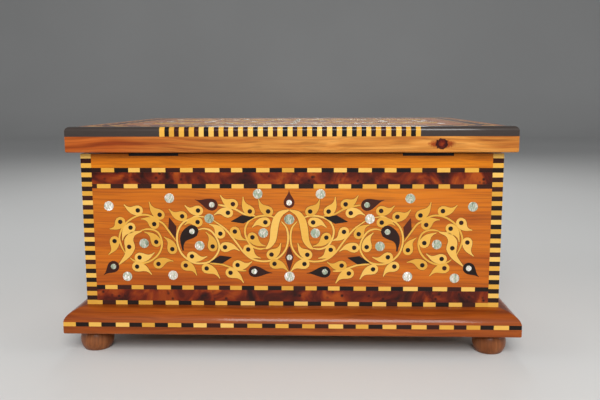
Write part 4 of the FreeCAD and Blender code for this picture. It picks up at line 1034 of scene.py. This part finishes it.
shapes, counts, firsts = [], [], []
for side in lid_faces:
    half = panel_half[0] if side in ("front", "back") else panel_half[1]
    face = top_strip_face(side)
    for inset in (BORDER, BORDER + STRING + BURL):
        shorter = 0 if side in ("front", "back") else STRING
        reach = half - inset - shorter
        starts, stops = block_ends(-reach, reach, BLOCK, 0.12)
        shapes.append(blocks(starts, stops, let_in(inset, inset + STRING, VENEER), face))
        counts.append(len(starts))
        firsts.append(0)
    inset = BORDER + STRING
    ends = np.array([[inset, 0.02], [inset, -VENEER], [inset + BURL, -VENEER],
                     [inset + BURL, 0.02]])
    rows = np.stack([np.stack([sign * (half - ends[:, 0]), ends[:, 0], ends[:, 1]], axis=1)
                     for sign in (-1, 1)])
    burl_rings.append(skin(lay(rows, face)))
inlaid_row("lid_top_strings", shapes, counts, firsts, "lid")
piece("lid_top_burl", joined(burl_rings), [burl], "lid", smooth=False)

ROW_PLACE, ROW_SCALE = 40.0, 0.88  # mm from the middle of the lid, and size of a row
between = {"pearls": [disc_shapes([(x, 0.0) for x in (-105, -70, -35, 0, 35, 70, 105)], 3.0,
                                  0.1)],
           "brown": [ribbon(np.linspace((x - 8, 0), (x + 8, 0), 3),
                            np.array([0.15, 2.7, 0.15]), 0.06)[None]
                     for x in (-87.5, -52.5, -17.5, 17.5, 52.5, 87.5)]}
print("lid top:", lay_panel("lid_top", top_face, "lid",
                            ((ROW_SCALE, ROW_PLACE), (-ROW_SCALE, -ROW_PLACE)),
                            LAYOUT_MIDDLE, extra=between), "faces")

# %% [markdown]
# ## Velvet lining and felt pads
# The compartment is lined with velvet glued on card, and the lid shuts on two felt pads.
# Such linings are stretched flat, so cloth simulation would move them by less than the
# pile is thick. They are modelled directly: a slab whose edge rolls over and whose face
# swells by half a millimetre towards the middle.

# %% Soft slabs
def soft_slab(low, high, facing, roll, swell):
    """A padded board between two corners, whose soft side faces facing. Its rows are
    rounded rectangles: up the edge, round a quarter circle of radius roll, then inwards
    while the face rises by swell times 1 - (1 - s) squared for the share s of the way."""
    out = np.array(facing, float)
    axis = int(np.argmax(np.abs(out)))
    along = np.roll([1.0, 0, 0], (axis + 1) % 3)
    up = np.cross(out, along)
    size = np.abs(high - low)
    half_along, half_up = size @ np.abs(along) / 2, size @ np.abs(up) / 2
    thick = size[axis]
    origin = (low + high) / 2 - out * thick / 2
    quarter = np.radians(np.linspace(0, 90, 5))
    share = np.linspace(0, 1, 7)[1:]
    reach = min(half_along, half_up) - roll
    inset = np.concatenate([[0.0], roll * (1 - np.cos(quarter)), roll + 0.96 * reach * share])
    rise = np.concatenate([[0.0], thick - swell - roll * (1 - np.sin(quarter)),
                           thick - swell * (1 - share) ** 2])
    corner = np.radians(np.linspace(0, 90, 4))
    turn = np.concatenate([corner + quarter_turn * np.pi / 2 for quarter_turn in range(4)])
    signs = np.sign(np.stack([np.cos(turn.reshape(4, -1)[:, 1:3].mean(1)),
                              np.sin(turn.reshape(4, -1)[:, 1:3].mean(1))], axis=1))
    signs = np.repeat(signs, 4, axis=0)
    bend = np.minimum(roll, (min(half_along, half_up) - inset) * 0.9)[:, None]
    rows = np.stack([
        signs[:, 0] * (half_along - inset[:, None] - bend) + bend * np.cos(turn),
        signs[:, 1] * (half_up - inset[:, None] - bend) + bend * np.sin(turn),
        np.repeat(rise[:, None], len(turn), axis=1)], axis=-1)
    return skin(lay(rows, (origin, along, up, out)))


def soft_piece(name, shape, material, body, node):
    """A soft slab that stands for a CAD node."""
    made = piece(name, shape, [material], body, [node])


walls_low, walls_high = span("wall_linings")
LINING = 2.0  # mm, card and velvet on a wall
wall_slabs = []
for axis, end, out in ((1, 0, (0, 1, 0)), (1, 1, (0, -1, 0)), (0, 0, (1, 0, 0)),
                       (0, 1, (-1, 0, 0))):
    low, high = walls_low.copy(), walls_high.copy()
    (high if end == 0 else low)[axis] = (walls_low if end == 0 else walls_high)[axis] + (
        LINING if end == 0 else -LINING)
    if axis == 0:
        low[1], high[1] = low[1] + LINING, high[1] - LINING
    wall_slabs.append(soft_slab(low, high, out, 0.7, 0.4))
soft_piece("compartment_floor_velvet",
           soft_slab(*span("floor_lining"), (0, 0, 1), 1.2, 0.6), velvet, "case",
           "floor_lining")
soft_piece("compartment_wall_velvet", joined(wall_slabs), velvet, "case", "wall_linings")
soft_piece("lid_velvet", soft_slab(*span("lid_lining"), (0, 0, -1), 1.2, 0.6), velvet, "lid",
           "lid_lining")
pad_low, pad_high = span("rim_pads")
PAD_WIDTH = 34.0  # mm along the rim
pads = []
for end in (-1, 1):
    low, high = pad_low.copy(), pad_high.copy()
    outer = pad_high[0] * end
    low[0], high[0] = min(outer, outer - end * PAD_WIDTH), max(outer, outer - end * PAD_WIDTH)
    pads.append(soft_slab(low, high, (0, 0, 1), 0.6, 0.2))
soft_piece("felt_rim_pads", joined(pads), felt, "case", "rim_pads")
print("soft pieces: 4")

# %% [markdown]
# ## The studio
# The box stands on a plain pale table that rises softly into a pale background. The light
# is one broad soft box above the camera, a weaker one at each side, and a pale sky.

# %% Table and background
def pale_surface():
    """Matt pale paper, with faint clouds so that it is not one flat colour."""
    material, tree, shader, place = new_material("pale_paper")
    colour = ramp(tree, noise(tree, place, 1.5, 2.0), [(0.3, "#C2C2C0"), (0.7, "#C8C8C6")])
    tree.links.new(colour, shader.inputs["Base Color"])
    dress(shader, roughness=0.6)
    return material


sweep = np.concatenate([[[-3000, 0]], arc((2600, 900), 900, 270, 360, 16), [[3500, 3500]]])
ends = np.stack([np.stack([np.full(len(sweep), x), sweep[:, 0], sweep[:, 1]], axis=1)
                 for x in (-5000.0, 5000.0)])
index = np.arange(2 * len(sweep)).reshape(2, -1)
backdrop_faces = np.stack([index[0, :-1], index[1, :-1], index[1, 1:], index[0, 1:]], axis=1)
paper = bpy.data.meshes.new("studio_paper")
paper.from_pydata((ends.reshape(-1, 3) * MM).tolist(), [], backdrop_faces.tolist())
paper.materials.append(pale_surface())
paper.polygons.foreach_set("use_smooth", np.ones(len(paper.polygons), bool))
studio_paper = bpy.data.objects.new("studio_paper", paper)
bpy.context.scene.collection.objects.link(studio_paper)

# %% Lights
def soft_box(name, place, aim, size, power):
    """A square area light at place, turned to face aim (mm)."""
    lamp = bpy.data.lights.new(name, "AREA")
    lamp.shape, lamp.size, lamp.energy = "SQUARE", size * MM, power
    made = bpy.data.objects.new(name, lamp)
    bpy.context.scene.collection.objects.link(made)
    back = np.array(place, float) - aim
    back /= np.linalg.norm(back)
    right = np.cross([0.0, 0, 1], back)
    right /= np.linalg.norm(right)
    turned = np.eye(4)
    turned[:3, :3] = np.stack([right, np.cross(back, right), back], axis=1)
    turned[:3, 3] = np.array(place, float) * MM
    made.matrix_world = Matrix(turned.tolist())


box_middle = np.array([0.0, 0.0, 90.0])
soft_box("key_soft_box", (70, -1100, 750), box_middle, 600, 16)
soft_box("left_soft_box", (-1200, -300, 500), box_middle, 600, 5)
soft_box("right_soft_box", (1200, -300, 500), box_middle, 600, 5)
soft_box("back_soft_box", (0, 1100, 900), box_middle, 600, 6)
sky = bpy.data.worlds.new("pale_studio")
sky.use_nodes = True
sky.node_tree.nodes["Background"].inputs["Color"].default_value = linear("#E4E6EA")
sky.node_tree.nodes["Background"].inputs["Strength"].default_value = 0.3
bpy.context.scene.world = sky
print("four soft boxes and a pale sky")
